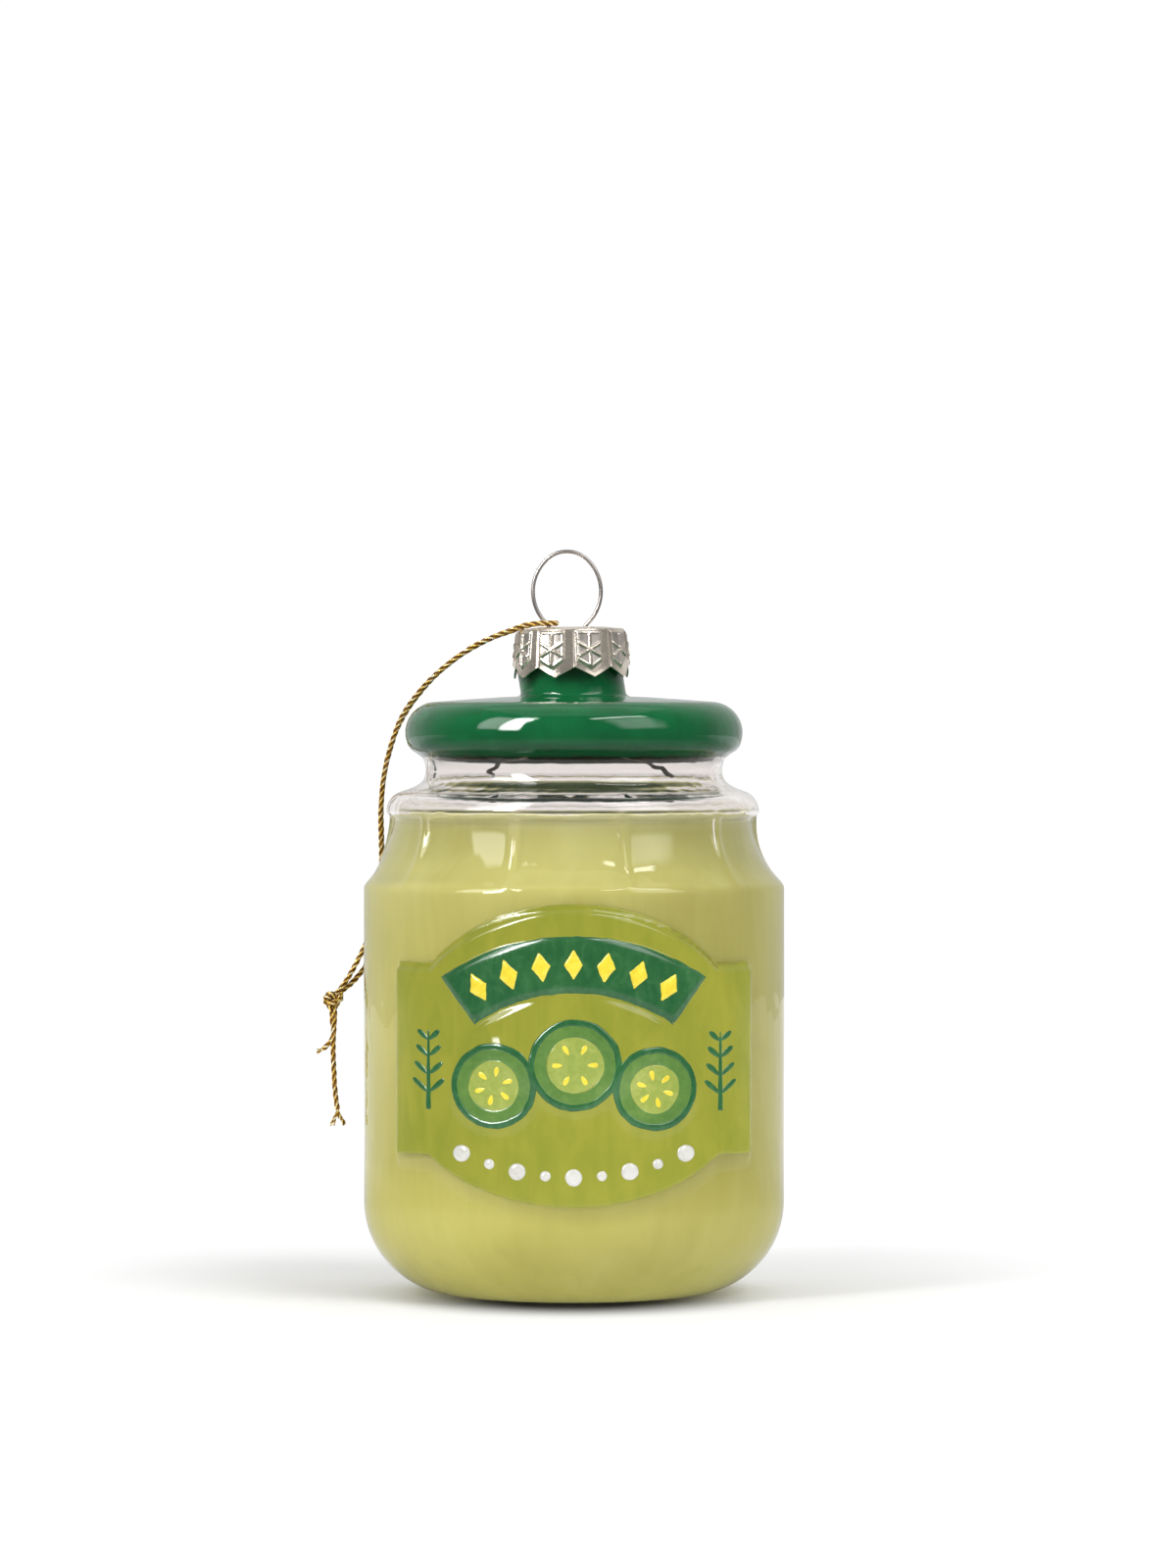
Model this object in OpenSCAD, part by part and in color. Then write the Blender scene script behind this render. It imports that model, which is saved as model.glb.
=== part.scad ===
// Glass pickle jar ornament: blown glass jar with painted inside, raised label,
// crown cap, wire hanger and gold hanging cord. Millimetres.
// Origin at the middle of the base, +Z up, the label faces -Y.

/* [Jar] */
// Radius of the straight jar wall
body_r = 28.5; // [27.5:0.1:29]
// Radius of the rounded base corner
corner_r = 12.5; // [9:0.5:14]
// Glass wall thickness
wall = 1.1; // [0.8:0.05:1.4]
// Number of flat flutes around the shoulder
flutes = 10; // [8:1:12]
// Depth of a flute below its ridges
flute_depth = 0.75; // [0.4:0.05:1]
// Radius of the cove that the flutes follow
cove_r = 10.4; // [10:0.1:11]
// Ridge radius at the top of the flutes
ridge_r = 24.9; // [24.6:0.1:25.2]

/* [Lid and stub] */
// Radius of the groove between shoulder and lid
neck_r = 20.15; // [19.6:0.05:20.6]
// Rounding radius of the lid's side
lid_round = 4.3; // [4:0.1:4.5]
// Radius of the glass stub at its foot
stub_r = 7.15; // [7:0.05:7.3]
// Bore radius of the glass stub
bore_r = 5.85; // [5.5:0.05:6]
// Thickness of the painted coats inside the glass
coat = 0.15; // [0.1:0.05:0.25]

/* [Label] */
// Half width of the label panel
panel_w = 23.2; // [21:0.2:24]
// Half width of the arches on the label
arch_w = 18.7; // [17:0.1:19.5]
// Rise of the top arch
arch_top = 7.9; // [6.5:0.1:8.2]
// Drop of the bottom arch
arch_bottom = 6.5; // [5:0.1:7]
// Height of the panel relief
panel_t = 0.5; // [0.3:0.05:0.7]
// Height of the banner and picture relief above the panel
relief_t = 0.45; // [0.3:0.05:0.6]

/* [Cap and hanger] */
// Lobes around the cap's skirt
lobes = 9; // [8:1:10]
// Sheet thickness of the cap
sheet = 0.25; // [0.2:0.01:0.3]
// Outer radius of the cap at its top
cap_top_r = 7.35; // [7.3:0.05:7.5]
// Outer radius of the cap at its lower edge
cap_low_r = 7.95; // [7.9:0.05:8.2]
// Wire diameter of the hanger
wire_d = 0.54; // [0.45:0.01:0.6]

/* [Cord] */
// Diameter of the hanging cord
cord_d = 0.75; // [0.6:0.05:0.9]
// Diameter of the knot
knot_d = 2.9; // [2.6:0.1:3.6]

/* [Hidden] */
$fn = 96;

// Heights on the jar
z_cove = 63.2;
z_bead = 65.0;
z_groove = 70.5;
z_lid = 76.0;
z_lid_top = 80.95;
z_rim = 89.4;
z_leg = 89.8;
z_cap = 90.3;
z_tip = 83.4;
// Label heights and arch circles
z_pan_lo = 20.2;
z_pan_hi = 45.6;
arch_top_r = (arch_w * arch_w + arch_top * arch_top) / (2 * arch_top);
arch_bot_r = (arch_w * arch_w + arch_bottom * arch_bottom) / (2 * arch_bottom);
lab_r = body_r + panel_t;
rel_r = lab_r + relief_t;
// Hanger loop: an oval of three arcs, from its half width and half height.
// It sits a little left of the jar's axis
loop_x = -0.95;
loop_z = 95.1;
loop_hw = 4.61;
loop_hh = 5.45;
top_r = 4.0;
top_z = loop_hh - top_r;
side_r = (loop_hw * loop_hw + top_z * top_z - top_r * top_r) / (2 * (loop_hw - top_r));
side_x = side_r - loop_hw;
join_a = atan2(top_z, side_x);
foot_a = 50;
slot_x = 2.45;
leg_knee = [4.4, 78.6];
leg_tip = [12.6, 68.2];

// Points of an arc in the profile plane
function arc(cx, cz, r, a0, a1, n) =
    [for (i = [0:n]) let (a = a0 + (a1 - a0) * i / n) [cx + r * cos(a), cz + r * sin(a)]];
function flip(v) = [for (i = [len(v) - 1:-1:0]) v[i]];

// ---- glass profile -------------------------------------------------------
cove_x = ridge_r + cove_r;
cove_end = acos((cove_x - body_r) / cove_r);
lid_x = 22.9 - lid_round;
mid_cove_x = cove_x - flute_depth;
in_cove_r = cove_r + wall - 0.1;
in_body_r = body_r - wall;

outer = concat(
    [[0, 0]],
    arc(body_r - corner_r, corner_r, corner_r, -90, 0, 14),
    arc(cove_x, z_cove, cove_r, 180 + cove_end, 180, 12),
    arc(22.2, z_bead + 0.2, 2.95, 0, 62, 7),
    arc(neck_r + 1.9, z_groove, 1.9, 236, 120, 10),
    arc(lid_x, z_lid, lid_round, -55, 90, 16),
    arc(stub_r + 1.05, z_lid_top + 1.05, 1.05, 270, 180, 5),
    [[stub_r - 0.3, z_rim - 0.3], [stub_r - 0.55, z_rim]]);

// Inner wall of lid and stub, set in by d, from the rim down to the paint edge
function lid_path(d) = concat(
    [[bore_r - d, z_rim - 0.4], [bore_r - d, z_lid_top - 0.55 - d],
     [bore_r + 0.35 - d / 2, z_lid_top - 1.0 - d]],
    arc(lid_x - 0.1, z_lid, lid_round - wall - d, 90, -50, 12));
// Inner wall of groove and shoulder, left clear
clear_path = concat(
    arc(neck_r + 1.9, z_groove, 1.9 + wall, 128, 228, 8),
    [[22.0, z_bead + 2.1], [22.75, z_bead + 1.2]]);
// Inner wall of the painted jar, set in by d, from the paint line to the middle of the base
function brine_path(d) = concat(
    [[22.9 - d, z_bead + 0.3], [mid_cove_x - in_cove_r - d, z_cove + 0.8]],
    arc(mid_cove_x, z_cove, in_cove_r + d, 180,
        180 + acos((mid_cove_x - in_body_r + 0.5 + d) / (in_cove_r + d)), 9),
    [[in_body_r - d, z_cove - in_cove_r * 0.8]],
    arc(body_r - corner_r, corner_r, corner_r - wall - d, 0, -90, 12),
    [[0, wall + d]]);

module flute_cut() {
    intersection() {
        rotate([90, 0, 90])
            translate([-mid_cove_x, z_cove, 0])
                cylinder(r = cove_r, h = 40, center = true);
        translate([-20, -60, z_cove - 14])
            cube([40, 60, z_bead - z_cove + 14]);
    }
}

module glass_body() {
    color([0.86, 0.88, 0.85, 0.45])
    difference() {
        rotate_extrude()
            polygon(concat(outer, [[bore_r + 0.25, z_rim]], lid_path(0), clear_path, brine_path(0)));
        for (i = [0:flutes - 1])
            rotate([0, 0, i * 360 / flutes]) flute_cut();
    }
}

module brine_lacquer() {
    color("#b9b45c")
    rotate_extrude() polygon(concat(brine_path(0), flip(brine_path(coat))));
}

module lid_lacquer() {
    color("#1d6b3f")
    rotate_extrude() polygon(concat(lid_path(0), flip(lid_path(coat))));
}

// ---- label ---------------------------------------------------------------
// A flat outline in X and Z, carried onto the round front between two radii
module on_front(r0, r1) {
    intersection() {
        difference() {
            cylinder(r = r1, h = 60);
            translate([0, 0, -1]) cylinder(r = r0, h = 62);
        }
        translate([0, -10, 0]) rotate([90, 0, 0]) linear_extrude(25) children();
    }
}

// Straight sides with an arch above and a shallower arch below
arch_top_a = asin(arch_w / arch_top_r);
arch_bot_a = asin(arch_w / arch_bot_r);
module label_outline() {
    polygon(concat(
        [[panel_w, z_pan_lo], [panel_w, z_pan_hi]],
        arc(0, z_pan_hi + arch_top - arch_top_r, arch_top_r, 90 - arch_top_a, 90 + arch_top_a, 24),
        [[-panel_w, z_pan_hi], [-panel_w, z_pan_lo]],
        arc(0, z_pan_lo - arch_bottom + arch_bot_r, arch_bot_r, 270 - arch_bot_a, 270 + arch_bot_a, 24)));
}

module label_panel() {
    color("#98a637") on_front(body_r, lab_r) label_outline();
}

// Arched band: two circles about one centre, cut by two straight ends
banner_c = 19.4;
banner_r1 = 30.0;
banner_r0 = 22.4;
module label_banner() {
    color("#1f6b3b")
    on_front(lab_r, rel_r)
        intersection() {
            difference() {
                translate([0, banner_c]) circle(r = banner_r1);
                translate([0, banner_c]) circle(r = banner_r0);
            }
            translate([0, banner_c])
                polygon([[0, 0], [24.4, 34], [-24.4, 34]]);
        }
}

// Row of small diamonds along the banner
module banner_diamonds() {
    color("#f0dc3c")
    on_front(rel_r, rel_r + 0.2)
        for (a = [-28, -18.7, -9.3, 0, 9.3, 18.7, 28])
            translate([0, banner_c]) rotate(a) translate([0, 26.2])
                polygon([[-1.25, 0], [0, -2.1], [1.25, 0], [0, 2.1]]);
}

// Three cucumber slices: x, height, radius
slices = [[-10.4, 29.6, 5.6], [0.2, 32.4, 6.0], [10.6, 29.2, 5.5]];
module slice_discs() {
    color("#6f9a45")
    on_front(lab_r, rel_r)
        for (s = slices) difference() {
            translate([s[0], s[1]]) circle(r = s[2] - 0.7);
            translate([s[0], s[1]]) circle(r = s[2] - 2.3);
        }
}
module slice_hearts() {
    color("#a9b552")
    on_front(lab_r, rel_r)
        for (s = slices) translate([s[0], s[1]]) circle(r = s[2] - 2.3);
}
module slice_rims() {
    color("#17693c")
    on_front(lab_r, rel_r + 0.15)
        for (s = slices) difference() {
            translate([s[0], s[1]]) circle(r = s[2]);
            translate([s[0], s[1]]) circle(r = s[2] - 0.7);
        }
}
module slice_seeds() {
    color("#f0dc3c")
    on_front(rel_r, rel_r + 0.2)
        for (s = slices) for (i = [0:5])
            translate([s[0], s[1]]) rotate(i * 60 + s[0] * 4) translate([s[2] - 3.7, 0])
                square([1.3, 0.6], center = true);
}

// A stem with paired leaflets at each side of the picture
module sprig() {
    translate([-0.3, 0]) square([0.6, 10.5]);
    for (z = [2.2, 4.6, 7.0, 9.2]) for (s = [-1, 1])
        translate([0, z]) rotate(s * -48) translate([-0.3, 0]) square([0.6, 3.0 - z * 0.12]);
}
module dill_sprigs() {
    color("#1f7a41")
    on_front(lab_r, rel_r - 0.1) {
        translate([-19.2, 26.2]) sprig();
        translate([19.4, 26.0]) sprig();
    }
}

// Row of white beads along the foot of the label
module foot_beads() {
    color("#f4f2ea")
    on_front(lab_r, lab_r + 0.35)
        for (i = [-4:4])
            translate([i * 3.7, 17.6 + 0.085 * i * i * 2.2]) circle(d = i % 2 == 0 ? 2.3 : 1.4);
}

// ---- crown cap -----------------------------------------------------------
module crown_cap() {
    color("#c9c6c2")
    difference() {
        rotate_extrude()
            polygon([[0, z_cap], [4.6, z_cap], [cap_top_r - 0.55, z_cap - 0.3],
                     [cap_top_r - 0.15, z_cap - 0.5], [cap_top_r, z_cap - 0.9], [cap_low_r, z_tip],
                     [cap_low_r - sheet, z_tip], [cap_top_r - sheet, z_cap - 0.95],
                     [cap_top_r - 0.65, z_cap - 0.32 - sheet], [4.6, z_cap - sheet], [0, z_cap - sheet]]);
        for (s = [-1, 1])
            translate([loop_x + s * (slot_x + 0.15) - 0.7, -0.5, z_cap - 1])
                cube([1.4, 1.0, 2]);
        for (i = [0:lobes - 1])
            rotate([0, 0, 4 + i * 360 / lobes])
                translate([0, -5, 0]) rotate([90, 0, 0])
                    linear_extrude(6)
                        polygon([[0, z_tip + 1.45],
                                 [1.08 * cap_low_r * sin(180 / lobes), z_tip - 0.11],
                                 [-1.08 * cap_low_r * sin(180 / lobes), z_tip - 0.11]]);
    }
}

// ---- wire hanger ---------------------------------------------------------
module wire_rod(x0, z0, x1, z1) {
    dx = x1 - x0;
    dz = z1 - z0;
    translate([x0, 0, z0]) rotate([0, atan2(dx, dz), 0])
        cylinder(d = wire_d, h = sqrt(dx * dx + dz * dz), $fn = 48);
}
foot_x = side_r * cos(foot_a) - side_x;
foot_z = loop_z - side_r * sin(foot_a);
function upright(v) = [for (q = v) [loop_x + q[0], 0, q[1]]];
loop_path = upright(concat(
    [[foot_x, z_leg], [foot_x, foot_z - 0.1]],
    arc(-side_x, loop_z, side_r, 4 - foot_a, join_a, 13),
    arc(0, loop_z + top_z, top_r, join_a + 7, 173 - join_a, 10),
    arc(side_x, loop_z, side_r, 180 - join_a, 176 + foot_a, 13),
    [[-foot_x, foot_z - 0.1], [-foot_x, z_leg]]));
module hanger_loop() {
    color("#c4bfb8") tube(loop_path, wire_d, 12);
}
module hanger_legs() {
    color("#c4bfb8")
    for (s = [-1, 1]) {
        wire_rod(loop_x + s * foot_x, z_leg, s * leg_knee[0], leg_knee[1]);
        translate([s * leg_knee[0], 0, leg_knee[1]]) sphere(d = wire_d * 1.06, $fn = 48);
        wire_rod(s * leg_knee[0], leg_knee[1], s * leg_tip[0], leg_tip[1]);
    }
}

// ---- cord ----------------------------------------------------------------
// Doubled cord from the knot, up the front strand, through the loop and back
route = [
    [-33, 8.6, 39.5], [-31.5, 9, 41.5], [-29.8, 10, 44.5], [-28, 11, 48.5], [-27, 11.5, 53],
    [-26.5, 11.5, 57], [-26.5, 10.5, 61], [-26.5, 9, 65], [-26, 7, 70], [-25, 5, 74],
    [-23.5, 3, 78], [-21, 1, 81.5], [-18, -0.5, 84.5], [-14, -1.3, 87.4], [-10.5, -1.6, 89.1],
    [-8.6, -1.7, 89.8], [-7, -1.7, 90.4], [-5.5, -1.6, 90.7], [-4, -1.3, 90.8], [-3, -0.9, 90.8],
    [-2.5, -0.5, 90.8], [-2.3, 0, 90.8], [-2.5, 0.5, 90.8],
    [-3, 0.9, 90.8], [-4, 1.3, 90.8], [-5.5, 1.9, 90.7], [-7, 2.5, 90.3], [-8.8, 3.2, 89.7],
    [-12, 4.4, 88.5], [-16, 5.8, 86.2], [-20, 7.2, 82.7], [-23.5, 9, 78], [-25.5, 11, 73],
    [-26.5, 12.5, 67], [-26.5, 13.5, 61], [-26.5, 13.8, 54.5], [-27, 13, 48], [-28.5, 11.5, 44.2],
    [-30.5, 9.8, 41.6], [-33, 8.6, 39.5]];
// The long tail and the short tail below the knot
tail_long = [[-33.1, 8.2, 39.2], [-32.8, 8.3, 37.5], [-32.9, 8.3, 35.5], [-33, 8.3, 33.5],
             [-33, 8.3, 31.5], [-32.9, 8.3, 29.5], [-32.8, 8.3, 27.5], [-32.6, 8.3, 25.5],
             [-32.4, 8.3, 24.2]];
tail_short = [[-33, 9.1, 39.2], [-33.2, 9.2, 37.4], [-33.1, 9.2, 35.8], [-33, 9.2, 34.8],
              [-33.2, 9.2, 33.9], [-33.8, 9.2, 33.1], [-34.5, 9.2, 32.5]];
// A smooth line through the points, with one more point in each gap
function midway(p, i) =
    (9 * (p[i] + p[i + 1]) - p[max(i - 1, 0)] - p[min(i + 2, len(p) - 1)]) / 16;
function smoothed(p) = concat(
    [for (i = [0:len(p) - 2]) each [p[i], midway(p, i)]], [p[len(p) - 1]]);

function unit(v) = v / norm(v);
function tangent(p, i) =
    unit(p[min(i + 1, len(p) - 1)] - p[max(i - 1, 0)]);
// Sideways vectors that turn as little as possible along the route
function sides(p, i, n) =
    let (t = tangent(p, i), m = unit(n - (n * t) * t))
    i == len(p) - 1 ? [m] : concat([m], sides(p, i + 1, m));

module tube(p, d, k = 8) {
    n = sides(p, 0, cross(tangent(p, 0), [0.3, 1, 0.2]));
    rings = [for (i = [0:len(p) - 1])
        let (t = tangent(p, i), b = cross(t, n[i]))
        for (j = [0:k - 1])
            p[i] + d / 2 * (cos(360 * j / k) * n[i] + sin(360 * j / k) * b)];
    last = k * (len(p) - 1);
    faces = concat(
        [[for (j = [0:k - 1]) j]],
        [for (i = [0:len(p) - 2]) for (j = [0:k - 1])
            [i * k + j, (i + 1) * k + j, (i + 1) * k + (j + 1) % k, i * k + (j + 1) % k]],
        [[for (j = [k - 1:-1:0]) last + j]]);
    polyhedron(points = rings, faces = faces, convexity = 6);
}

module hanging_cord() {
    color("#b58a2c") tube(smoothed(route), cord_d);
}
module cord_knot() {
    color("#b58a2c") translate([-33, 8.6, 39.3]) sphere(d = knot_d, $fn = 48);
}
module cord_tails() {
    color("#b58a2c") {
        tube(tail_long, cord_d);
        tube(tail_short, cord_d);
    }
}

glass_body();
brine_lacquer();
lid_lacquer();
label_panel();
label_banner();
banner_diamonds();
slice_discs();
slice_hearts();
slice_rims();
slice_seeds();
dill_sprigs();
foot_beads();
crown_cap();
hanger_loop();
hanger_legs();
hanging_cord();
cord_knot();
cord_tails();
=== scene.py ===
import math

import bmesh
import bpy
import numpy as np
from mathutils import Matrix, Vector, noise
from mathutils.geometry import delaunay_2d_cdt


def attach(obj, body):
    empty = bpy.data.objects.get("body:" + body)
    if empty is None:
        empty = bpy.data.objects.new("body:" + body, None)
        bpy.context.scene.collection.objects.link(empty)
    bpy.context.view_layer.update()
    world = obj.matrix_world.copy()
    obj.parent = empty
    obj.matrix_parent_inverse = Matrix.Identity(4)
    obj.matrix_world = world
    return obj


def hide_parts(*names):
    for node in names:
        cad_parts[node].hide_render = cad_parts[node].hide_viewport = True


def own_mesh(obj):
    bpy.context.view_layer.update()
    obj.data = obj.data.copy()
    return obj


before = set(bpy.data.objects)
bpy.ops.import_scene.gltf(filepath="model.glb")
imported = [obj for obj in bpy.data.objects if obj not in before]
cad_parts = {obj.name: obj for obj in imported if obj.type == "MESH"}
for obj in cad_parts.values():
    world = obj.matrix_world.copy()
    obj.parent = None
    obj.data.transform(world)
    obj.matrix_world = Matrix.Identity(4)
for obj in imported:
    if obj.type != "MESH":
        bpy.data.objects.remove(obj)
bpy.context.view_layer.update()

MM = 0.001
TAU = 2.0 * math.pi


# ---------------------------------------------------------------- helpers
def lin(r, g, b, a=1.0):
    def f(c):
        c /= 255.0
        return c / 12.92 if c <= 0.04045 else ((c + 0.055) / 1.055) ** 2.4
    return (f(r), f(g), f(b), a)


def smooth(a, b, x):
    t = np.clip((np.asarray(x, float) - a) / (b - a), 0.0, 1.0)
    return t * t * (3.0 - 2.0 * t)


def n3(x, y, z, s=1.0, seed=0.0):
    return noise.noise(Vector((x * s + seed, y * s + 3.1 * seed, z * s - 1.7 * seed)))


def make(name, verts, faces, mats, face_mats=None, shade=True):
    """A mesh object from millimetre vertices."""
    me = bpy.data.meshes.new(name)
    me.from_pydata([tuple(float(c) * MM for c in v) for v in verts], [], [tuple(int(i) for i in f) for f in faces])
    me.validate()
    for m in mats if isinstance(mats, (list, tuple)) else [mats]:
        me.materials.append(m)
    if face_mats is not None:
        me.polygons.foreach_set("material_index", face_mats)
    me.polygons.foreach_set("use_smooth", [shade] * len(me.polygons))
    me.update()
    ob = bpy.data.objects.new(name, me)
    bpy.context.scene.collection.objects.link(ob)
    return ob


def tidy(ob, merge=None):
    """Outward normals, and doubled points merged."""
    bm = bmesh.new()
    bm.from_mesh(ob.data)
    if merge:
        bmesh.ops.remove_doubles(bm, verts=bm.verts, dist=merge * MM)
    bmesh.ops.recalc_face_normals(bm, faces=bm.faces)
    bm.to_mesh(ob.data)
    bm.free()
    ob.data.update()


def grid_faces(rows, cols, wrap=True, offset=0):
    f = []
    last = cols if wrap else cols - 1
    for i in range(rows - 1):
        for j in range(last):
            a = offset + i * cols + j
            b = offset + i * cols + (j + 1) % cols
            f.append((a, b, b + cols, a + cols))
    return f


# ---------------------------------------------------------------- materials
class Mat:
    """A node material with short calls for the nodes used here."""

    def __init__(self, name):
        self.mat = bpy.data.materials.new(name)
        self.mat.use_nodes = True
        self.nt = self.mat.node_tree
        self.bsdf = self.nt.nodes["Principled BSDF"]
        self.out = self.nt.nodes["Material Output"]
        self._co = None

    def node(self, kind, **kw):
        n = self.nt.nodes.new(kind)
        for k, v in kw.items():
            setattr(n, k, v)
        return n

    def link(self, a, b):
        self.nt.links.new(a, b)

    def set(self, **kw):
        for k, v in kw.items():
            self.bsdf.inputs[k.replace("_", " ")].default_value = v

    def coords(self, scale=(1, 1, 1), rot=(0, 0, 0)):
        """Object coordinates in millimetres, stretched by scale."""
        tc = self.node("ShaderNodeTexCoord")
        mp = self.node("ShaderNodeMapping")
        mp.inputs["Scale"].default_value = tuple(1000.0 * s for s in scale)
        mp.inputs["Rotation"].default_value = rot
        self.link(tc.outputs["Object"], mp.inputs["Vector"])
        return mp.outputs["Vector"]

    def noise(self, vec, scale, detail=3.0, rough=0.55, distort=0.0):
        n = self.node("ShaderNodeTexNoise")
        n.inputs["Scale"].default_value = scale
        n.inputs["Detail"].default_value = detail
        n.inputs["Roughness"].default_value = rough
        n.inputs["Distortion"].default_value = distort
        self.link(vec, n.inputs["Vector"])
        return n.outputs["Fac"]

    def ramp(self, fac, stops):
        r = self.node("ShaderNodeValToRGB")
        els = r.color_ramp.elements
        while len(els) < len(stops):
            els.new(0.5)
        for e, (p, c) in zip(els, stops):
            e.position = p
            e.color = c
        self.link(fac, r.inputs["Fac"])
        return r.outputs["Color"]

    def mix(self, fac, a, b, kind="MIX"):
        m = self.node("ShaderNodeMix", data_type="RGBA", blend_type=kind)
        for sock, v in ((m.inputs[0], fac), (m.inputs[6], a), (m.inputs[7], b)):
            if isinstance(v, (float, int, tuple)):
                sock.default_value = v
            else:
                self.link(v, sock)
        return m.outputs[2]

    def bump(self, height, strength, dist_mm):
        b = self.node("ShaderNodeBump")
        b.inputs["Strength"].default_value = strength
        b.inputs["Distance"].default_value = dist_mm * MM
        self.link(height, b.inputs["Height"])
        return b.outputs["Normal"]


def thin_paint(m, share):
    """Lets that share of the light pass on to what lies behind."""
    lp = m.node("ShaderNodeLightPath")
    either = m.node("ShaderNodeMath", operation="MAXIMUM")
    m.link(lp.outputs["Is Shadow Ray"], either.inputs[0])
    m.link(lp.outputs["Is Diffuse Ray"], either.inputs[1])
    part = m.node("ShaderNodeMath", operation="MULTIPLY")
    m.link(either.outputs[0], part.inputs[0])
    part.inputs[1].default_value = share
    tr = m.node("ShaderNodeBsdfTransparent")
    mx = m.node("ShaderNodeMixShader")
    m.link(part.outputs[0], mx.inputs[0])
    m.link(m.bsdf.outputs[0], mx.inputs[1])
    m.link(tr.outputs[0], mx.inputs[2])
    m.link(mx.outputs[0], m.out.inputs["Surface"])


def enamel(name, dark, mid, light, scale, stretch=(1, 1, 1), rough=0.22, bump=0.25, coat=0.6):
    """Brushed glossy enamel: streaks and blotches of three near colours."""
    m = Mat(name)
    v = m.coords(stretch)
    streak = m.noise(v, scale, 4.0, 0.6, 0.6)
    v2 = m.coords((1, 1, 1))
    blotch = m.noise(v2, 0.11, 2.0, 0.5)
    col = m.ramp(streak, [(0.30, dark), (0.5, mid), (0.72, light)])
    col2 = m.ramp(blotch, [(0.32, dark), (0.55, mid), (0.75, light)])
    m.link(m.mix(0.45, col, col2), m.bsdf.inputs["Base Color"])
    rr = m.node("ShaderNodeMapRange")
    rr.inputs["To Min"].default_value = rough * 0.8
    rr.inputs["To Max"].default_value = rough * 1.35
    m.link(streak, rr.inputs["Value"])
    m.link(rr.outputs["Result"], m.bsdf.inputs["Roughness"])
    m.set(Coat_Weight=coat, Coat_Roughness=0.04)
    m.link(m.bump(streak, bump, 0.05), m.bsdf.inputs["Normal"])
    thin_paint(m, 0.85)
    return m.mat


def clear_glass():
    """Clear blown glass, a little warm; lamps shine through it onto the paint."""
    m = Mat("clear_glass")
    m.set(Base_Color=lin(247, 243, 241), Roughness=0.012, IOR=1.5, Transmission_Weight=1.0)
    v = m.coords((1, 1, 0.45))
    wave = m.noise(v, 0.16, 2.0, 0.5)
    m.link(m.bump(wave, 0.35, 0.5), m.bsdf.inputs["Normal"])
    lp = m.node("ShaderNodeLightPath")
    tr = m.node("ShaderNodeBsdfTransparent")
    tr.inputs["Color"].default_value = (0.97, 0.97, 0.96, 1)
    mx = m.node("ShaderNodeMixShader")
    m.link(lp.outputs["Is Shadow Ray"], mx.inputs[0])
    m.link(m.bsdf.outputs[0], mx.inputs[1])
    m.link(tr.outputs[0], mx.inputs[2])
    m.link(mx.outputs[0], m.out.inputs["Surface"])
    return m.mat


def height(m, z0, z1):
    """0 at height z0 and 1 at height z1, in millimetres."""
    tc = m.node("ShaderNodeTexCoord")
    sp = m.node("ShaderNodeSeparateXYZ")
    m.link(tc.outputs["Object"], sp.inputs[0])
    mr = m.node("ShaderNodeMapRange")
    mr.inputs["From Min"].default_value = z0 * MM
    mr.inputs["From Max"].default_value = z1 * MM
    m.link(sp.outputs["Z"], mr.inputs["Value"])
    return mr.outputs["Result"]


def lacquer(name, dark, mid, light, scale, stretch, rough, painted_light_by_height=None):
    """Lacquer poured inside the glass: runs, thin places and a paler top edge; an optional ramp over height multiplies
    its colour to paint in light and shade.
    """
    m = Mat(name)
    v = m.coords(stretch)
    runs = m.noise(v, scale, 3.0, 0.55, 0.8)
    blotch = m.noise(m.coords((1, 1, 1)), 0.07, 2.0, 0.5)
    a = m.ramp(runs, [(0.28, dark), (0.52, mid), (0.78, light)])
    b = m.ramp(blotch, [(0.30, dark), (0.5, mid), (0.7, light)])
    col = m.mix(0.5, a, b)
    if painted_light_by_height:
        z0, z1, stops = painted_light_by_height
        # painted light and shade: the colour multiplied by a ramp over height
        col = m.mix(1.0, col, m.ramp(height(m, z0, z1), stops), "MULTIPLY")
    m.link(col, m.bsdf.inputs["Base Color"])
    m.set(Roughness=rough, Specular_IOR_Level=0.0)
    return m.mat


def lacquer_inside(name, edge, deep, z0, z1, through):
    """The bare inner side of the lacquer, glossy; its paler edge is painted light, and it glows a little as emission, a
    painted stand-in for light shining through it.
    """
    m = Mat(name)
    mottle = m.noise(m.coords((1, 1, 0.3)), 0.25, 2.0, 0.5)
    dim = tuple(0.72 * c for c in deep[:3]) + (1,)
    base = m.ramp(mottle, [(0.35, dim), (0.65, deep)])
    col = m.mix(height(m, z0, z1), base, edge)
    m.link(col, m.bsdf.inputs["Base Color"])
    # painted glow: the colour also goes out as emission, standing in for light shining through the lacquer
    m.link(col, m.bsdf.inputs["Emission Color"])
    m.set(Roughness=0.16, Emission_Strength=through)
    return m.mat


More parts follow.
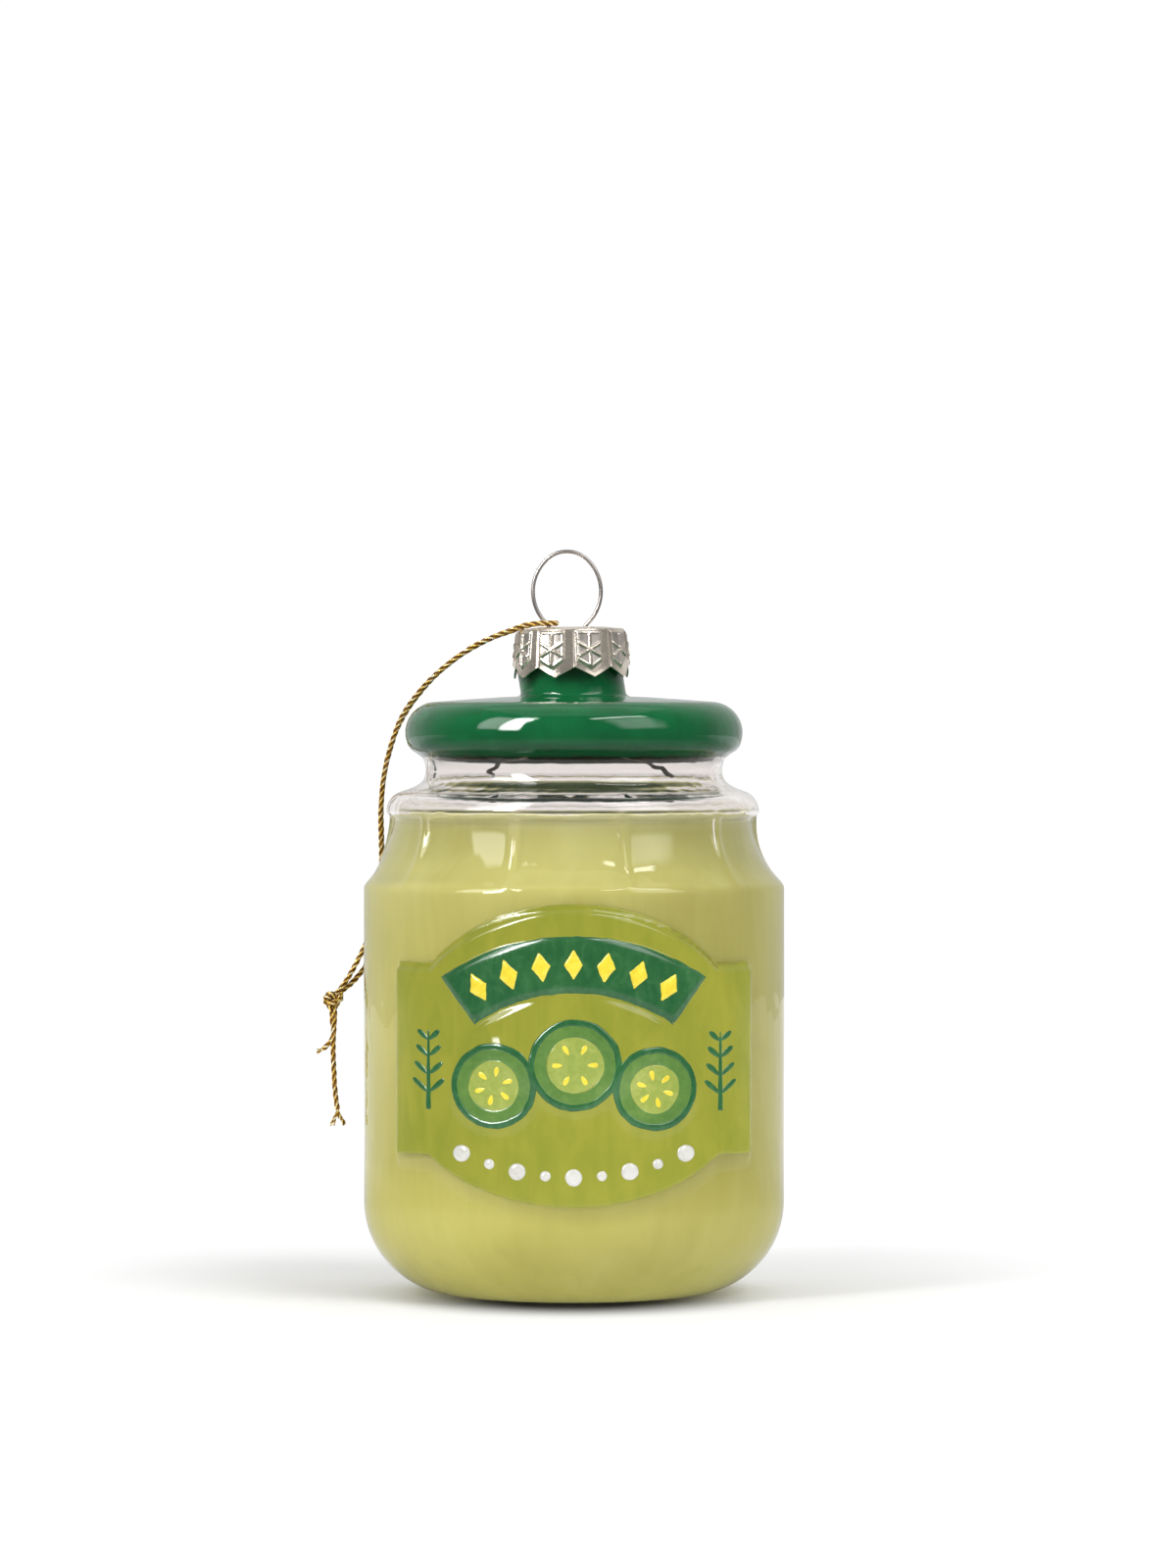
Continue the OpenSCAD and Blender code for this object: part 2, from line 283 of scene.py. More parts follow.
GLASS = clear_glass()
# painted light and shade over height: brighter towards the bottom as painted bounce light from the table, dimmer and
# bluer on the flutes as painted shade and painted pale reflection, and paler and bluer along the top edge, partly thin
# paint and partly painted reflection
OLIVE = lacquer("olive_lacquer", lin(166, 162, 84), lin(174, 171, 93), lin(181, 178, 104), 0.30, (1, 1, 0.18), 0.45,
                (0.0, 66.0, [(0.0, (1.26, 1.28, 1.2, 1)), (0.12, (1.12, 1.12, 1.08, 1)), (0.28, (0.97, 0.97, 0.94, 1)), (0.5, (0.98, 0.98, 1.0, 1)),
                             (0.8, (0.99, 0.99, 1.2, 1)), (0.9, (0.9, 0.91, 1.24, 1)), (0.95, (0.9, 0.91, 1.3, 1)), (0.99, (1.06, 1.07, 2.1, 1))]))
# painted light: the pale top edge and the glow stand in for light shining through the thin lacquer; the dark grey-green
# below paints the dark reflection seen inside the shoulder
OLIVE_IN = lacquer_inside("olive_lacquer_inside", lin(200, 196, 150), lin(86, 98, 74), 62.5, 65.3, 0.45)
# painted light: the lacquer inside the stub is brightened 1.3 to 1.5 times above 80 mm, where the cap shades it
GREEN = lacquer("green_lacquer", lin(11, 76, 42), lin(16, 88, 50), lin(22, 98, 57), 0.35, (1, 1, 0.6), 0.4,
                (80.0, 84.0, [(0.0, (1.0, 1.0, 1.0, 1)), (0.2, (1.3, 1.3, 1.3, 1)), (0.8, (1.5, 1.5, 1.5, 1))]))
GREEN_IN = lacquer_inside("green_lacquer_inside", lin(30, 60, 44), lin(24, 52, 38), 70.0, 71.0, 0.0)
LABEL = enamel("label_enamel", lin(124, 131, 45), lin(137, 139, 50), lin(148, 147, 55), 0.35, (1, 1, 0.35), 0.07, 0.10, 0.0)
DARK = enamel("dark_green_enamel", lin(24, 80, 42), lin(36, 92, 48), lin(62, 112, 66), 0.9, (1, 1, 0.6))
MID = enamel("mid_green_enamel", lin(72, 110, 48), lin(86, 123, 55), lin(106, 138, 65), 0.8)
PALE = enamel("pale_green_enamel", lin(128, 147, 62), lin(146, 159, 73), lin(168, 175, 93), 0.8)
YELLOW = enamel("yellow_enamel", lin(208, 182, 42), lin(226, 204, 56), lin(236, 221, 88), 1.2)
WHITE = enamel("white_enamel", lin(182, 180, 172), lin(197, 196, 190), lin(208, 207, 203), 1.2)


def silver(name, base, rough, bump, rim=None):
    """Bright metal with a fine grain; rim paints shade on it where it turns away."""
    m = Mat(name)
    v = m.coords((1, 1, 1))
    grain = m.noise(v, 2.2, 4.0, 0.6)
    tint = m.noise(v, 0.25, 2.0, 0.5)
    dark = tuple(c * 0.72 for c in base[:3]) + (1,)
    col = m.ramp(tint, [(0.35, dark), (0.62, base)])
    # painted shade: the rim colour takes over where the surface turns away from the view
    if rim:
        lw = m.node("ShaderNodeLayerWeight")
        lw.inputs["Blend"].default_value = 0.5
        k = m.ramp(lw.outputs["Facing"], [(0.15, (0, 0, 0, 1)), (0.75, (1, 1, 1, 1))])
        col = m.mix(k, col, rim)
    m.link(col, m.bsdf.inputs["Base Color"])
    rr = m.node("ShaderNodeMapRange")
    rr.inputs["To Min"].default_value = rough * 0.6
    rr.inputs["To Max"].default_value = rough * 1.6
    m.link(grain, rr.inputs["Value"])
    m.link(rr.outputs["Result"], m.bsdf.inputs["Roughness"])
    m.set(Metallic=0.85)
    m.link(m.bump(grain, bump, 0.04), m.bsdf.inputs["Normal"])
    return m.mat


SILVER = silver("silver_sheet", lin(244, 232, 216), 0.22, 0.03)
# painted shade: a darker, duller copy of the silver for the sunken ground inside the shields
SILVER_SHADED = silver("silver_sheet_shaded_ground", lin(206, 199, 191), 0.34, 0.05)
# painted shade: the legs, seen through the neck, use a dark brownish shaded copy of the wire; both wires get painted
# edge shade
SHADED_LEG_WIRE = silver("leg_wire", lin(132, 124, 108), 0.4, 0.0, lin(50, 46, 36))
WIRE = silver("hanger_wire", lin(200, 191, 185), 0.3, 0.0, lin(76, 67, 62))


def gold_thread():
    m = Mat("gold_thread")
    v = m.coords((1, 1, 1))
    painted_glint = m.noise(v, 1.5, 3.0, 0.75)
    fine = m.noise(v, 9.0, 2.0, 0.6)
    # painted glints: the near-white top of the ramp paints sparkles into the thread's colour
    m.link(m.ramp(painted_glint, [(0.34, lin(192, 142, 38)), (0.45, lin(232, 188, 74)), (0.53, lin(250, 226, 138)),
                          (0.60, lin(255, 252, 226))]), m.bsdf.inputs["Base Color"])
    m.set(Metallic=0.25, Roughness=0.26)
    m.link(m.bump(fine, 0.6, 0.06), m.bsdf.inputs["Normal"])
    return m.mat


GOLD = gold_thread()


def gold_gaps():
    """The shaded sides of the plies, down in the gaps between them."""
    m = Mat("gold_thread_gaps")
    n = m.noise(m.coords((1, 1, 1)), 2.6, 3.0, 0.6)
    m.link(m.ramp(n, [(0.35, lin(92, 57, 5)), (0.62, lin(150, 104, 22))]), m.bsdf.inputs["Base Color"])
    m.set(Metallic=0.2, Roughness=0.42)
    return m.mat


GOLD_GAPS = gold_gaps()

# ---------------------------------------------------------------- camera, stage, light
sc = bpy.context.scene
sc.view_settings.view_transform = "Standard"
sc.cycles.max_bounces = 24
sc.cycles.glossy_bounces = 16
sc.cycles.transmission_bounces = 24

FLOOR_THROW = 1.8

cam_d = bpy.data.cameras.new("camera")
cam = bpy.data.objects.new("camera", cam_d)
sc.collection.objects.link(cam)
sc.camera = cam
cam_d.lens = 152.3
cam_d.sensor_width = 36.0
cam_d.clip_start = 0.05
cam_d.clip_end = 20.0
CAM = Vector((0.0019, -0.900, 0.080))
AIM = Vector((0.0019, 0.0, 0.0690))
cam.location = CAM
cam.rotation_euler = (AIM - CAM).to_track_quat("-Z", "Y").to_euler()

# white table top: shaded near the object, fading into the white surround
R_FLOOR = 900.0
fl, ff = [(0.0, 0.0, -0.02)], []
for i in range(1, 13):
    rr = R_FLOOR * i / 12.0
    for j in range(64):
        fl.append((rr * math.cos(TAU * j / 64), rr * math.sin(TAU * j / 64), -0.02))
ff = [(0, 1 + j, 1 + (j + 1) % 64) for j in range(64)] + [tuple(reversed(f)) for f in grid_faces(12, 64, True, 1)]
fm = Mat("table_top")
fm.set(Roughness=0.75, Specular_IOR_Level=0.0)
fv = fm.noise(fm.coords((1, 1, 1)), 0.02, 2.0)


def floor_fade(scale, near, far, ahead=0.0):
    """0 close to the object, or to a place ahead of it, and 1 far from it."""
    tc = fm.node("ShaderNodeTexCoord")
    mp = fm.node("ShaderNodeMapping")
    mp.inputs["Scale"].default_value = scale
    mp.inputs["Location"].default_value = (0.0, ahead, 0.0)
    fm.link(tc.outputs["Object"], mp.inputs["Vector"])
    ln = fm.node("ShaderNodeVectorMath", operation="LENGTH")
    fm.link(mp.outputs["Vector"], ln.inputs[0])
    mr = fm.node("ShaderNodeMapRange", interpolation_type="SMOOTHSTEP")
    mr.inputs["From Min"].default_value = near
    mr.inputs["From Max"].default_value = far
    fm.link(ln.outputs["Value"], mr.inputs["Value"])
    return mr.outputs["Result"]


# painted contact shadow: the table's colour goes dark right beside the base, where little light gets in
fm.link(fm.mix(floor_fade((1.0, 1.0, 1.0), 0.008, 0.027, 0.013), (0.04, 0.04, 0.04, 1),
               fm.ramp(fv, [(0.3, (0.77, 0.77, 0.77, 1)), (0.7, (0.79, 0.79, 0.79, 1))])), fm.bsdf.inputs["Base Color"])


def floor_mix(fac, a, b):
    mx = fm.node("ShaderNodeMixShader")
    fm.link(fac, mx.inputs[0])
    fm.link(a, mx.inputs[1])
    fm.link(b, mx.inputs[2])
    return mx.outputs[0]


def floor_glow(strength):
    e = fm.node("ShaderNodeEmission")
    e.inputs["Color"].default_value = (1, 1, 1, 1)
    e.inputs["Strength"].default_value = strength
    return e.outputs[0]


# what the camera sees: shadows near the object, white farther out
seen = floor_mix(floor_fade((1.0, 0.6, 1.0), 0.040, 0.090), fm.bsdf.outputs[0], floor_glow(1.04))
# the light that the table throws back on the object, and what mirrors in it
throw = floor_mix(floor_fade((1.0, 1.0, 1.0), 0.16, 0.36), floor_glow(FLOOR_THROW), floor_glow(0.25))
ftc = fm.node("ShaderNodeTexCoord")
fsp = fm.node("ShaderNodeSeparateXYZ")
fm.link(ftc.outputs["Object"], fsp.inputs[0])
fbk = fm.node("ShaderNodeMapRange", interpolation_type="SMOOTHSTEP")
fbk.inputs["From Min"].default_value = -0.05
fbk.inputs["From Max"].default_value = 0.30
fm.link(fsp.outputs["Y"], fbk.inputs["Value"])
away = floor_mix(fbk.outputs["Result"], floor_glow(0.12), floor_glow(0.9))
mirror = floor_mix(floor_fade((1.0, 1.0, 1.0), 0.07, 0.30), floor_glow(0.7), away)
# painted shade: the table's glow is dark right under the jar, in what the jar mirrors
mirror = floor_mix(floor_fade((1.0, 1.0, 1.0), 0.017, 0.034), floor_glow(0.06), mirror)
flp = fm.node("ShaderNodeLightPath")
once = fm.node("ShaderNodeMath", operation="COMPARE")
once.inputs[1].default_value = 1.0
once.inputs[2].default_value = 0.4
fm.link(flp.outputs["Diffuse Depth"], once.inputs[0])
glassy = fm.node("ShaderNodeMath", operation="GREATER_THAN")
glassy.inputs[1].default_value = 0.5
fm.link(flp.outputs["Transmission Depth"], glassy.inputs[0])
rest = floor_mix(glassy.outputs[0], mirror, floor_glow(0.8))
rest = floor_mix(once.outputs[0], rest, throw)
fm.link(floor_mix(flp.outputs["Is Camera Ray"], rest, seen), fm.out.inputs["Surface"])
fm.mat.cycles.emission_sampling = "NONE"
floor = make("table_top", fl, ff, fm.mat)

# surround: white to the camera and behind the object, dim in front of it
world = bpy.data.worlds.new("studio")
sc.world = world
world.use_nodes = True
wt = world.node_tree
bg = wt.nodes["Background"]
wco = wt.nodes.new("ShaderNodeTexCoord")
wsep = wt.nodes.new("ShaderNodeSeparateXYZ")
wt.links.new(wco.outputs["Generated"], wsep.inputs[0])


def world_blend(y0, y1, front, back):
    """Brightness from the front, y0, to the back, y1."""
    mr = wt.nodes.new("ShaderNodeMapRange")
    mr.interpolation_type = "SMOOTHSTEP"
    mr.inputs["From Min"].default_value = y0
    mr.inputs["From Max"].default_value = y1
    mr.inputs["To Min"].default_value = front
    mr.inputs["To Max"].default_value = back
    wt.links.new(wsep.outputs["Y"], mr.inputs["Value"])
    return mr.outputs["Result"]


def world_pick(fac, a, b):
    mx = wt.nodes.new("ShaderNodeMix")
    mx.data_type = "FLOAT"
    wt.links.new(fac, mx.inputs[0])
    for sock, v in ((mx.inputs[2], a), (mx.inputs[3], b)):
        if isinstance(v, float):
            sock.default_value = v
        else:
            wt.links.new(v, sock)
    return mx.outputs[0]


wlp = wt.nodes.new("ShaderNodeLightPath")
soft_light = wt.nodes.new("ShaderNodeMath")
soft_light.operation = "GREATER_THAN"
soft_light.inputs[1].default_value = 0.5
wt.links.new(wlp.outputs["Diffuse Depth"], soft_light.inputs[0])
in_glass = wt.nodes.new("ShaderNodeMath")
in_glass.operation = "GREATER_THAN"
in_glass.inputs[1].default_value = 0.5
wt.links.new(wlp.outputs["Transmission Depth"], in_glass.inputs[0])
w = world_pick(in_glass.outputs[0], world_blend(-0.1, 0.85, 0.10, 0.62), world_blend(-0.6, 0.4, 0.75, 1.0))
w = world_pick(soft_light.outputs[0], w, world_blend(-0.6, 0.4, 0.5, 0.85))
w = world_pick(wlp.outputs["Is Camera Ray"], w, 1.04)
wt.links.new(w, bg.inputs["Strength"])
bg.inputs["Color"].default_value = (1.0, 1.0, 1.0, 1)
world.cycles.sampling_method = "NONE"


def softbox(name, az, el, dist, w, h, radiance, boost=1.0, edge=0.16, aim=(0, 0, 0.06)):
    """A lit panel that fades towards its edges."""
    m = Mat(name)
    tc = m.node("ShaderNodeTexCoord")
    sp = m.node("ShaderNodeSeparateXYZ")
    m.link(tc.outputs["Object"], sp.inputs[0])
    out = None
    for ax, half in (("X", w / 2), ("Y", h / 2)):
        ab = m.node("ShaderNodeMath", operation="ABSOLUTE")
        m.link(sp.outputs[ax], ab.inputs[0])
        mr = m.node("ShaderNodeMapRange", interpolation_type="SMOOTHSTEP")
        mr.inputs["From Min"].default_value = half
        mr.inputs["From Max"].default_value = half * (1 - 2 * edge)
        m.link(ab.outputs[0], mr.inputs["Value"])
        if out is None:
            out = mr.outputs["Result"]
        else:
            mu = m.node("ShaderNodeMath", operation="MULTIPLY")
            m.link(out, mu.inputs[0])
            m.link(mr.outputs["Result"], mu.inputs[1])
            out = mu.outputs[0]
    mu = m.node("ShaderNodeMath", operation="MULTIPLY")
    m.link(out, mu.inputs[0])
    lp = m.node("ShaderNodeLightPath")
    gl = m.node("ShaderNodeMapRange")
    gl.inputs["To Min"].default_value = radiance
    gl.inputs["To Max"].default_value = radiance * boost
    m.link(lp.outputs["Is Glossy Ray"], gl.inputs["Value"])
    m.link(gl.outputs["Result"], mu.inputs[1])
    em = m.node("ShaderNodeEmission")
    m.link(mu.outputs[0], em.inputs["Strength"])
    m.link(em.outputs[0], m.out.inputs["Surface"])
    k = 500.0
    o = make(name, [(-w * k, -h * k, 0), (w * k, -h * k, 0), (w * k, h * k, 0), (-w * k, h * k, 0)], [(0, 3, 2, 1)], m.mat)
    a, e = math.radians(az), math.radians(el)
    t = Vector(aim)
    o.location = t + dist * Vector((math.sin(a) * math.cos(e), -math.cos(a) * math.cos(e), math.sin(e)))
    o.rotation_euler = (t - o.location).to_track_quat("-Z", "Y").to_euler()
    return o


softbox("key_left", -45, 33, 1.2, 0.34, 1.24, 9.9, 3.2, 0.28)
softbox("wing_left", -61, 33, 1.2, 0.44, 1.06, 2.2, 2.2, 0.22)
softbox("key_right", 50, 35, 1.2, 0.94, 1.12, 5.6, 0.50, 0.30)
softbox("strip_right", 47, 58, 1.2, 0.78, 0.12, 8.6, 1.15)
top = bpy.data.lights.new("top", "AREA")
top.shape, top.size, top.energy = "SQUARE", 1.2, 0.45 * math.pi * 1.44
top_ob = bpy.data.objects.new("top", top)
top_ob.location = (0.0, 0.1, 1.3)
sc.collection.objects.link(top_ob)

# ---------------------------------------------------------------- cord
ROUTE = [
    (-33, 8.6, 39.5), (-31.5, 9, 41.5), (-29.8, 10, 44.5), (-28, 11, 48.5), (-27, 11.5, 53),
    (-26.5, 11.5, 57), (-26.5, 10.5, 61), (-26.5, 9, 65), (-26, 7, 70), (-25, 5, 74),
    (-23.5, 3, 78), (-21, 1, 81.5), (-18, -0.5, 84.5), (-14, -1.3, 87.4), (-10.5, -1.6, 89.1),
    (-8.6, -1.7, 89.8), (-7, -1.7, 90.4), (-5.5, -1.6, 90.7), (-4, -1.3, 90.8), (-3, -0.9, 90.8),
    (-2.5, -0.5, 90.8), (-2.3, 0, 90.8), (-2.5, 0.5, 90.8),
    (-3, 0.9, 90.8), (-4, 1.3, 90.8), (-5.5, 1.9, 90.7), (-7, 2.5, 90.3), (-8.8, 3.2, 89.7),
    (-12, 4.4, 88.5), (-16, 5.8, 86.2), (-20, 7.2, 82.7), (-23.5, 9, 78), (-25.5, 11, 73),
    (-26.5, 12.5, 67), (-26.5, 13.5, 61), (-26.5, 13.8, 54.5), (-27, 13, 48), (-28.5, 11.5, 44.2),
    (-30.5, 9.8, 41.6), (-33, 8.6, 39.5)]
TAIL_LONG = [(-33.1, 8.2, 39.2), (-32.8, 8.3, 37.5), (-32.9, 8.3, 35.5), (-33, 8.3, 33.5),
             (-33, 8.3, 31.5), (-32.9, 8.3, 29.5), (-32.8, 8.3, 27.5), (-32.6, 8.3, 25.5),
             (-32.4, 8.3, 24.2)]
TAIL_SHORT = [(-33, 9.1, 39.2), (-33.2, 9.2, 37.4), (-33.1, 9.2, 35.8), (-33, 9.2, 34.8),
              (-33.2, 9.2, 33.9), (-33.8, 9.2, 33.1), (-34.5, 9.2, 32.5)]
BIGHT = 21


def spline(points, step):
    """A smooth curve through the points, resampled at even steps."""
    p = [np.array(q, float) for q in points]
    p = [2 * p[0] - p[1]] + p + [2 * p[-1] - p[-2]]
    out = []
    for i in range(1, len(p) - 2):
        a, b, c, d = p[i - 1], p[i], p[i + 1], p[i + 2]
        for k in range(16):
            t = k / 16.0
            out.append(0.5 * (2 * b + (c - a) * t + (2 * a - 5 * b + 4 * c - d) * t * t + (3 * b - a - 3 * c + d) * t ** 3))
    out.append(p[-2])
    out = np.array(out)
    s = np.concatenate([[0], np.cumsum(np.linalg.norm(np.diff(out, axis=0), axis=1))])
    m = max(2, int(round(s[-1] / step)))
    u = np.linspace(0, s[-1], m + 1)
    return np.stack([np.interp(u, s, out[:, k]) for k in range(3)], axis=1)


def frames(p):
    t = np.gradient(p, axis=0)
    t /= np.linalg.norm(t, axis=1)[:, None]
    n = np.cross(t[0], (0.3, 1.0, 0.2))
    out = []
    for q in t:
        n = n - np.dot(n, q) * q
        n /= np.linalg.norm(n)
        out.append((n.copy(), np.cross(q, n)))
    return t, out


def rope(p, plies, ply_r, helix_r, pitch, sides=10, phase=0.0, wobble=0.0, seed=0.0):
    """Vertices and faces of a cord of twisted plies along p; the last list marks the faces in the gaps."""
    t, fr = frames(p)
    s = np.concatenate([[0], np.cumsum(np.linalg.norm(np.diff(p, axis=0), axis=1))])
    V, F, G = [], [], []
    crest = [0 if abs(((j + 0.5) / sides + 0.5) % 1.0 - 0.5) < 0.11 else 1 for j in range(sides)]
    for k in range(plies):
        base = len(V)
        for i in range(len(p)):
            n, b = fr[i]
            a = TAU * s[i] / pitch + TAU * k / plies + phase
            hr = helix_r * (1 + wobble * n3(s[i], 4.0 * k, seed, 1.3))
            c = p[i] + hr * (math.cos(a) * n + math.sin(a) * b)
            e1 = math.cos(a) * n + math.sin(a) * b
            e2 = -math.sin(a) * n + math.cos(a) * b
            end = min(1.0, 0.35 + min(s[i], s[-1] - s[i]) / 0.2)
            for j in range(sides):
                g = TAU * j / sides
                V.append(c + ply_r * end * (math.cos(g) * e1 + 1.08 * math.sin(g) * e2))
        F += [(a0, d0, c0, b0) for a0, b0, c0, d0 in grid_faces(len(p), sides, True, base)]
        F.append(tuple(base + j for j in range(sides)))
        F.append(tuple(base + (len(p) - 1) * sides + j for j in reversed(range(sides))))
        G += crest * (len(p) - 1) + [1, 1]
    return V, F, G


def add_rope(V, F, v, f):
    o = len(V)
    V += list(v)
    F += [tuple(i + o for i in q) for q in f]


STRAND = dict(plies=3, ply_r=0.185, helix_r=0.19, pitch=3.5, wobble=0.15)


def strand(name, points, seed, fray):
    p = spline(points, 0.19)
    V, F, G = rope(p, seed=seed, **STRAND)
    end, d = p[-1], p[-1] - p[-3]
    d /= np.linalg.norm(d)
    for k, (dx, dy, dz, ln, r) in enumerate(fray):
        q = [end - 0.5 * d, end + 0.1 * d]
        for i in range(1, 6):
            w = i / 5.0
            q.append(end + np.array((dx, dy, dz)) * ln * w
                     + 0.12 * np.array((n3(i, k, seed, 0.9), n3(k, i, seed, 0.7), 0)))
        v, f, g = rope(spline(q, 0.15), 2, r, r * 0.9, 1.6, 5, phase=k)
        add_rope(V, F, v, f)
        G += g
    ob = make(name, V, F, [GOLD, GOLD_GAPS], G)
    tidy(ob)
    return ob, p


half_a = list(reversed(ROUTE[:BIGHT + 1]))
half_b = ROUTE[BIGHT:]
fray_long = [(-0.42, 0.05, -0.9, 2.4, 0.10), (-0.25, -0.15, -0.95, 2.2, 0.09),
             (0.36, -0.05, -0.93, 2.3, 0.10), (0.48, 0.1, -0.85, 2.3, 0.09), (0.1, 0.1, -0.98, 1.2, 0.08)]
fray_short = [(-0.9, 0.0, -0.4, 1.0, 0.09), (-0.95, 0.1, 0.05, 0.9, 0.08), (-0.8, -0.1, -0.7, 0.9, 0.08)]
cord_a, path_a = strand("cord_front_strand", half_a + TAIL_LONG[1:], 1.0, fray_long)
cord_b, path_b = strand("cord_back_strand", half_b + TAIL_SHORT[1:], 5.0, fray_short)


def knot_mesh():
    """An overhand knot of the doubled cord, pulled tight."""
    V, F, G = [], [], []
    c0 = np.array((-33.0, 8.6, 39.3))
    for lane, off in ((0, -0.30), (1, 0.30)):
        q = []
        for i in range(49):
            t = TAU * i / 48.0
            x = math.sin(t) + 2 * math.sin(2 * t)
            z = math.cos(t) - 2 * math.cos(2 * t)
            y = -math.sin(3 * t)
            q.append(c0 + 0.36 * np.array((x * 1.0, y * 1.5, z * 1.0)) + off * np.array((0.35, 0.8, 0.5)))
        p = spline(q, 0.19)
        v, f, g = rope(p, 3, 0.185, 0.185, 3.5, phase=lane, wobble=0.15, seed=lane)
        add_rope(V, F, v, f)
        G += g
    # a turn around the waist
    q = []
    for i in range(40):
        t = TAU * 1.6 * i / 39.0
        q.append(c0 + np.array((1.05 * math.cos(t), 1.05 * math.sin(t), 0.35 * math.sin(t + 0.6) + 0.5 * (i / 39.0 - 0.5))))
    v, f, g = rope(spline(q, 0.19), 3, 0.185, 0.185, 3.5, wobble=0.15, seed=3)
    add_rope(V, F, v, f)
    ob = make("cord_knot_wraps", V, F, [GOLD, GOLD_GAPS], G + g)
    tidy(ob)
    return ob


knot = knot_mesh()
for o in (cord_a, cord_b, knot):
    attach(o, "cord")
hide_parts("hanging_cord", "cord_tails")
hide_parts("hanging_cord", "cord_tails")
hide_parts("cord_knot")


# ---------------------------------------------------------------- label outlines (along the wall, height)
BODY_R = 28.5


def arc_pts(cu, cz, r, a0, a1, n):
    a = np.radians(np.linspace(a0, a1, n + 1))
    return np.stack([cu + r * np.cos(a), cz + r * np.sin(a)], axis=1)


def label_loop():
    w, aw, lo, hi, up, dn = 27.1, 20.4, 20.2, 45.6, 7.9, 6.5
    rt = (aw * aw + up * up) / (2 * up)
    rb = (aw * aw + dn * dn) / (2 * dn)
    at, ab = math.degrees(math.asin(aw / rt)), math.degrees(math.asin(aw / rb))
    return np.concatenate([
        [[w, lo], [w, hi]],
        arc_pts(0, hi + up - rt, rt, 90 - at, 90 + at, 48),
        [[-w, hi], [-w, lo]],
        arc_pts(0, lo - dn + rb, rb, 270 - ab, 270 + ab, 48)])


def seg_dist(P, loop):
    """Distance to a closed loop, positive inside."""
    P = np.asarray(P, float)
    a = np.asarray(loop, float)
    b = np.roll(a, -1, axis=0)
    best = np.full(len(P), 1e9)
    inside = np.zeros(len(P), bool)
    for (x0, y0), (x1, y1) in zip(a, b):
        dx, dy = x1 - x0, y1 - y0
        L = dx * dx + dy * dy
        if L < 1e-12:
            continue
        t = np.clip(((P[:, 0] - x0) * dx + (P[:, 1] - y0) * dy) / L, 0, 1)
        best = np.minimum(best, np.hypot(P[:, 0] - x0 - t * dx, P[:, 1] - y0 - t * dy))
        cross = (y0 > P[:, 1]) != (y1 > P[:, 1])
        if cross.any():
            xi = x0 + (P[:, 1] - y0) * dx / (dy if dy else 1e-12)
            inside ^= cross & (P[:, 0] < xi)
    return np.where(inside, best, -best)


LABEL_LOOP = label_loop()
MOULD_LOOP = LABEL_LOOP - np.array((0.0, 1.0))
BULGE = 0.68


def label_bulge(dist):
    return BULGE * smooth(-0.65, 0.5, dist)


# ---------------------------------------------------------------- glass
NT = 330
_u = (np.arange(NT) % 33) / 33.0
# 0 faces -Y, positive to +X; closer steps at the ribs between the flutes
TH = (np.arange(NT) // 33 + 0.5 + _u - 0.7 * np.sin(TAU * _u) / TAU) * TAU / 10.0
# the ribs are not quite evenly spaced: even angles and true ones, in degrees
RIB_EVEN = np.radians([-180, -162, -126, -90, -54, -18, 18, 54, 90, 126, 162, 180])
RIB_TRUE = np.radians([-180, -164, -131, -96.5, -53.6, -18.8, 15.2, 50.8, 95, 129, 163, 180])
TH = np.interp((TH + math.pi) % TAU - math.pi, RIB_EVEN, RIB_TRUE) % TAU
COVE_R, COVE_Z, RIDGE_R = 10.4, 63.45, 24.9
WALL_IN = 0.8


def flute(th):
    """1 in a flute, 0 on the ribs between them."""
    th = np.interp((np.asarray(th, float) + math.pi) % TAU - math.pi, RIB_TRUE, RIB_EVEN)
    f = np.abs((th / TAU * 10.0 + 0.5) % 1.0 - 0.5)
    e = (0.5 - f) * 15.6
    return 0.8 * (1.0 - np.exp(-(e / 0.78) ** 2)) + 0.2 * smooth(0.0, 5.0, e)


def left_swell(th, z):
    """The shoulder and the bead are a little fuller on the left."""
    side = np.clip(np.cos(np.asarray(th, float) + math.pi / 2), 0, 1) ** 6
    return side * (0.6 * smooth(55.5, 60.0, z) - 0.27 * smooth(61.5, 65.0, z) - 0.33 * smooth(67.2, 69.2, z))


def wall_r(th, z, depth, extra):
    """Radius of the jar wall between the base corner and the bead."""
    dz = np.clip(COVE_Z - z, 0, COVE_R * 0.985)
    cove = RIDGE_R + COVE_R - np.sqrt(COVE_R ** 2 - dz ** 2)
    top = 1.0 - smooth(64.1, 65.2, z)
    deep = 0.30 + 0.85 * smooth(56.5, 65.5, z)
    cove = cove - depth * deep * flute(th) * top + 0.18 * smooth(64.3, 65.2, z)
    cove = np.where(z < COVE_Z - COVE_R * 0.985, 60.0, cove)
    k = 0.55
    h = np.clip(0.5 + 0.5 * (cove - BODY_R) / k, 0, 1)
    r = cove * (1 - h) + BODY_R * h - k * h * (1 - h)
    return np.where(cove > BODY_R + k, BODY_R, r) + extra + left_swell(th, z)


def pts(cx, cz, r, a0, a1, n):
    return [tuple(q) for q in arc_pts(cx, cz, r, a0, a1, n)]


# inner wall of the stub and of the lid's top
LID_IN = [(5.85, 88.2), (5.85, 86.0), (5.85, 83.4), (5.85, 82.0), (5.9, 81.2), (6.2, 80.58), (7.0, 80.28),
          (9.5, 80.15), (12.5, 79.97), (15.5, 79.76)]


def lid_arc(cx, r, a0, a1, n):
    """The lid's round edge, a little flatter above its middle."""
    return [(x, z if z < 76.0 else 76.0 + 0.97 * (z - 76.0)) for x, z in pts(cx, 76.0, r, a0, a1, n)]


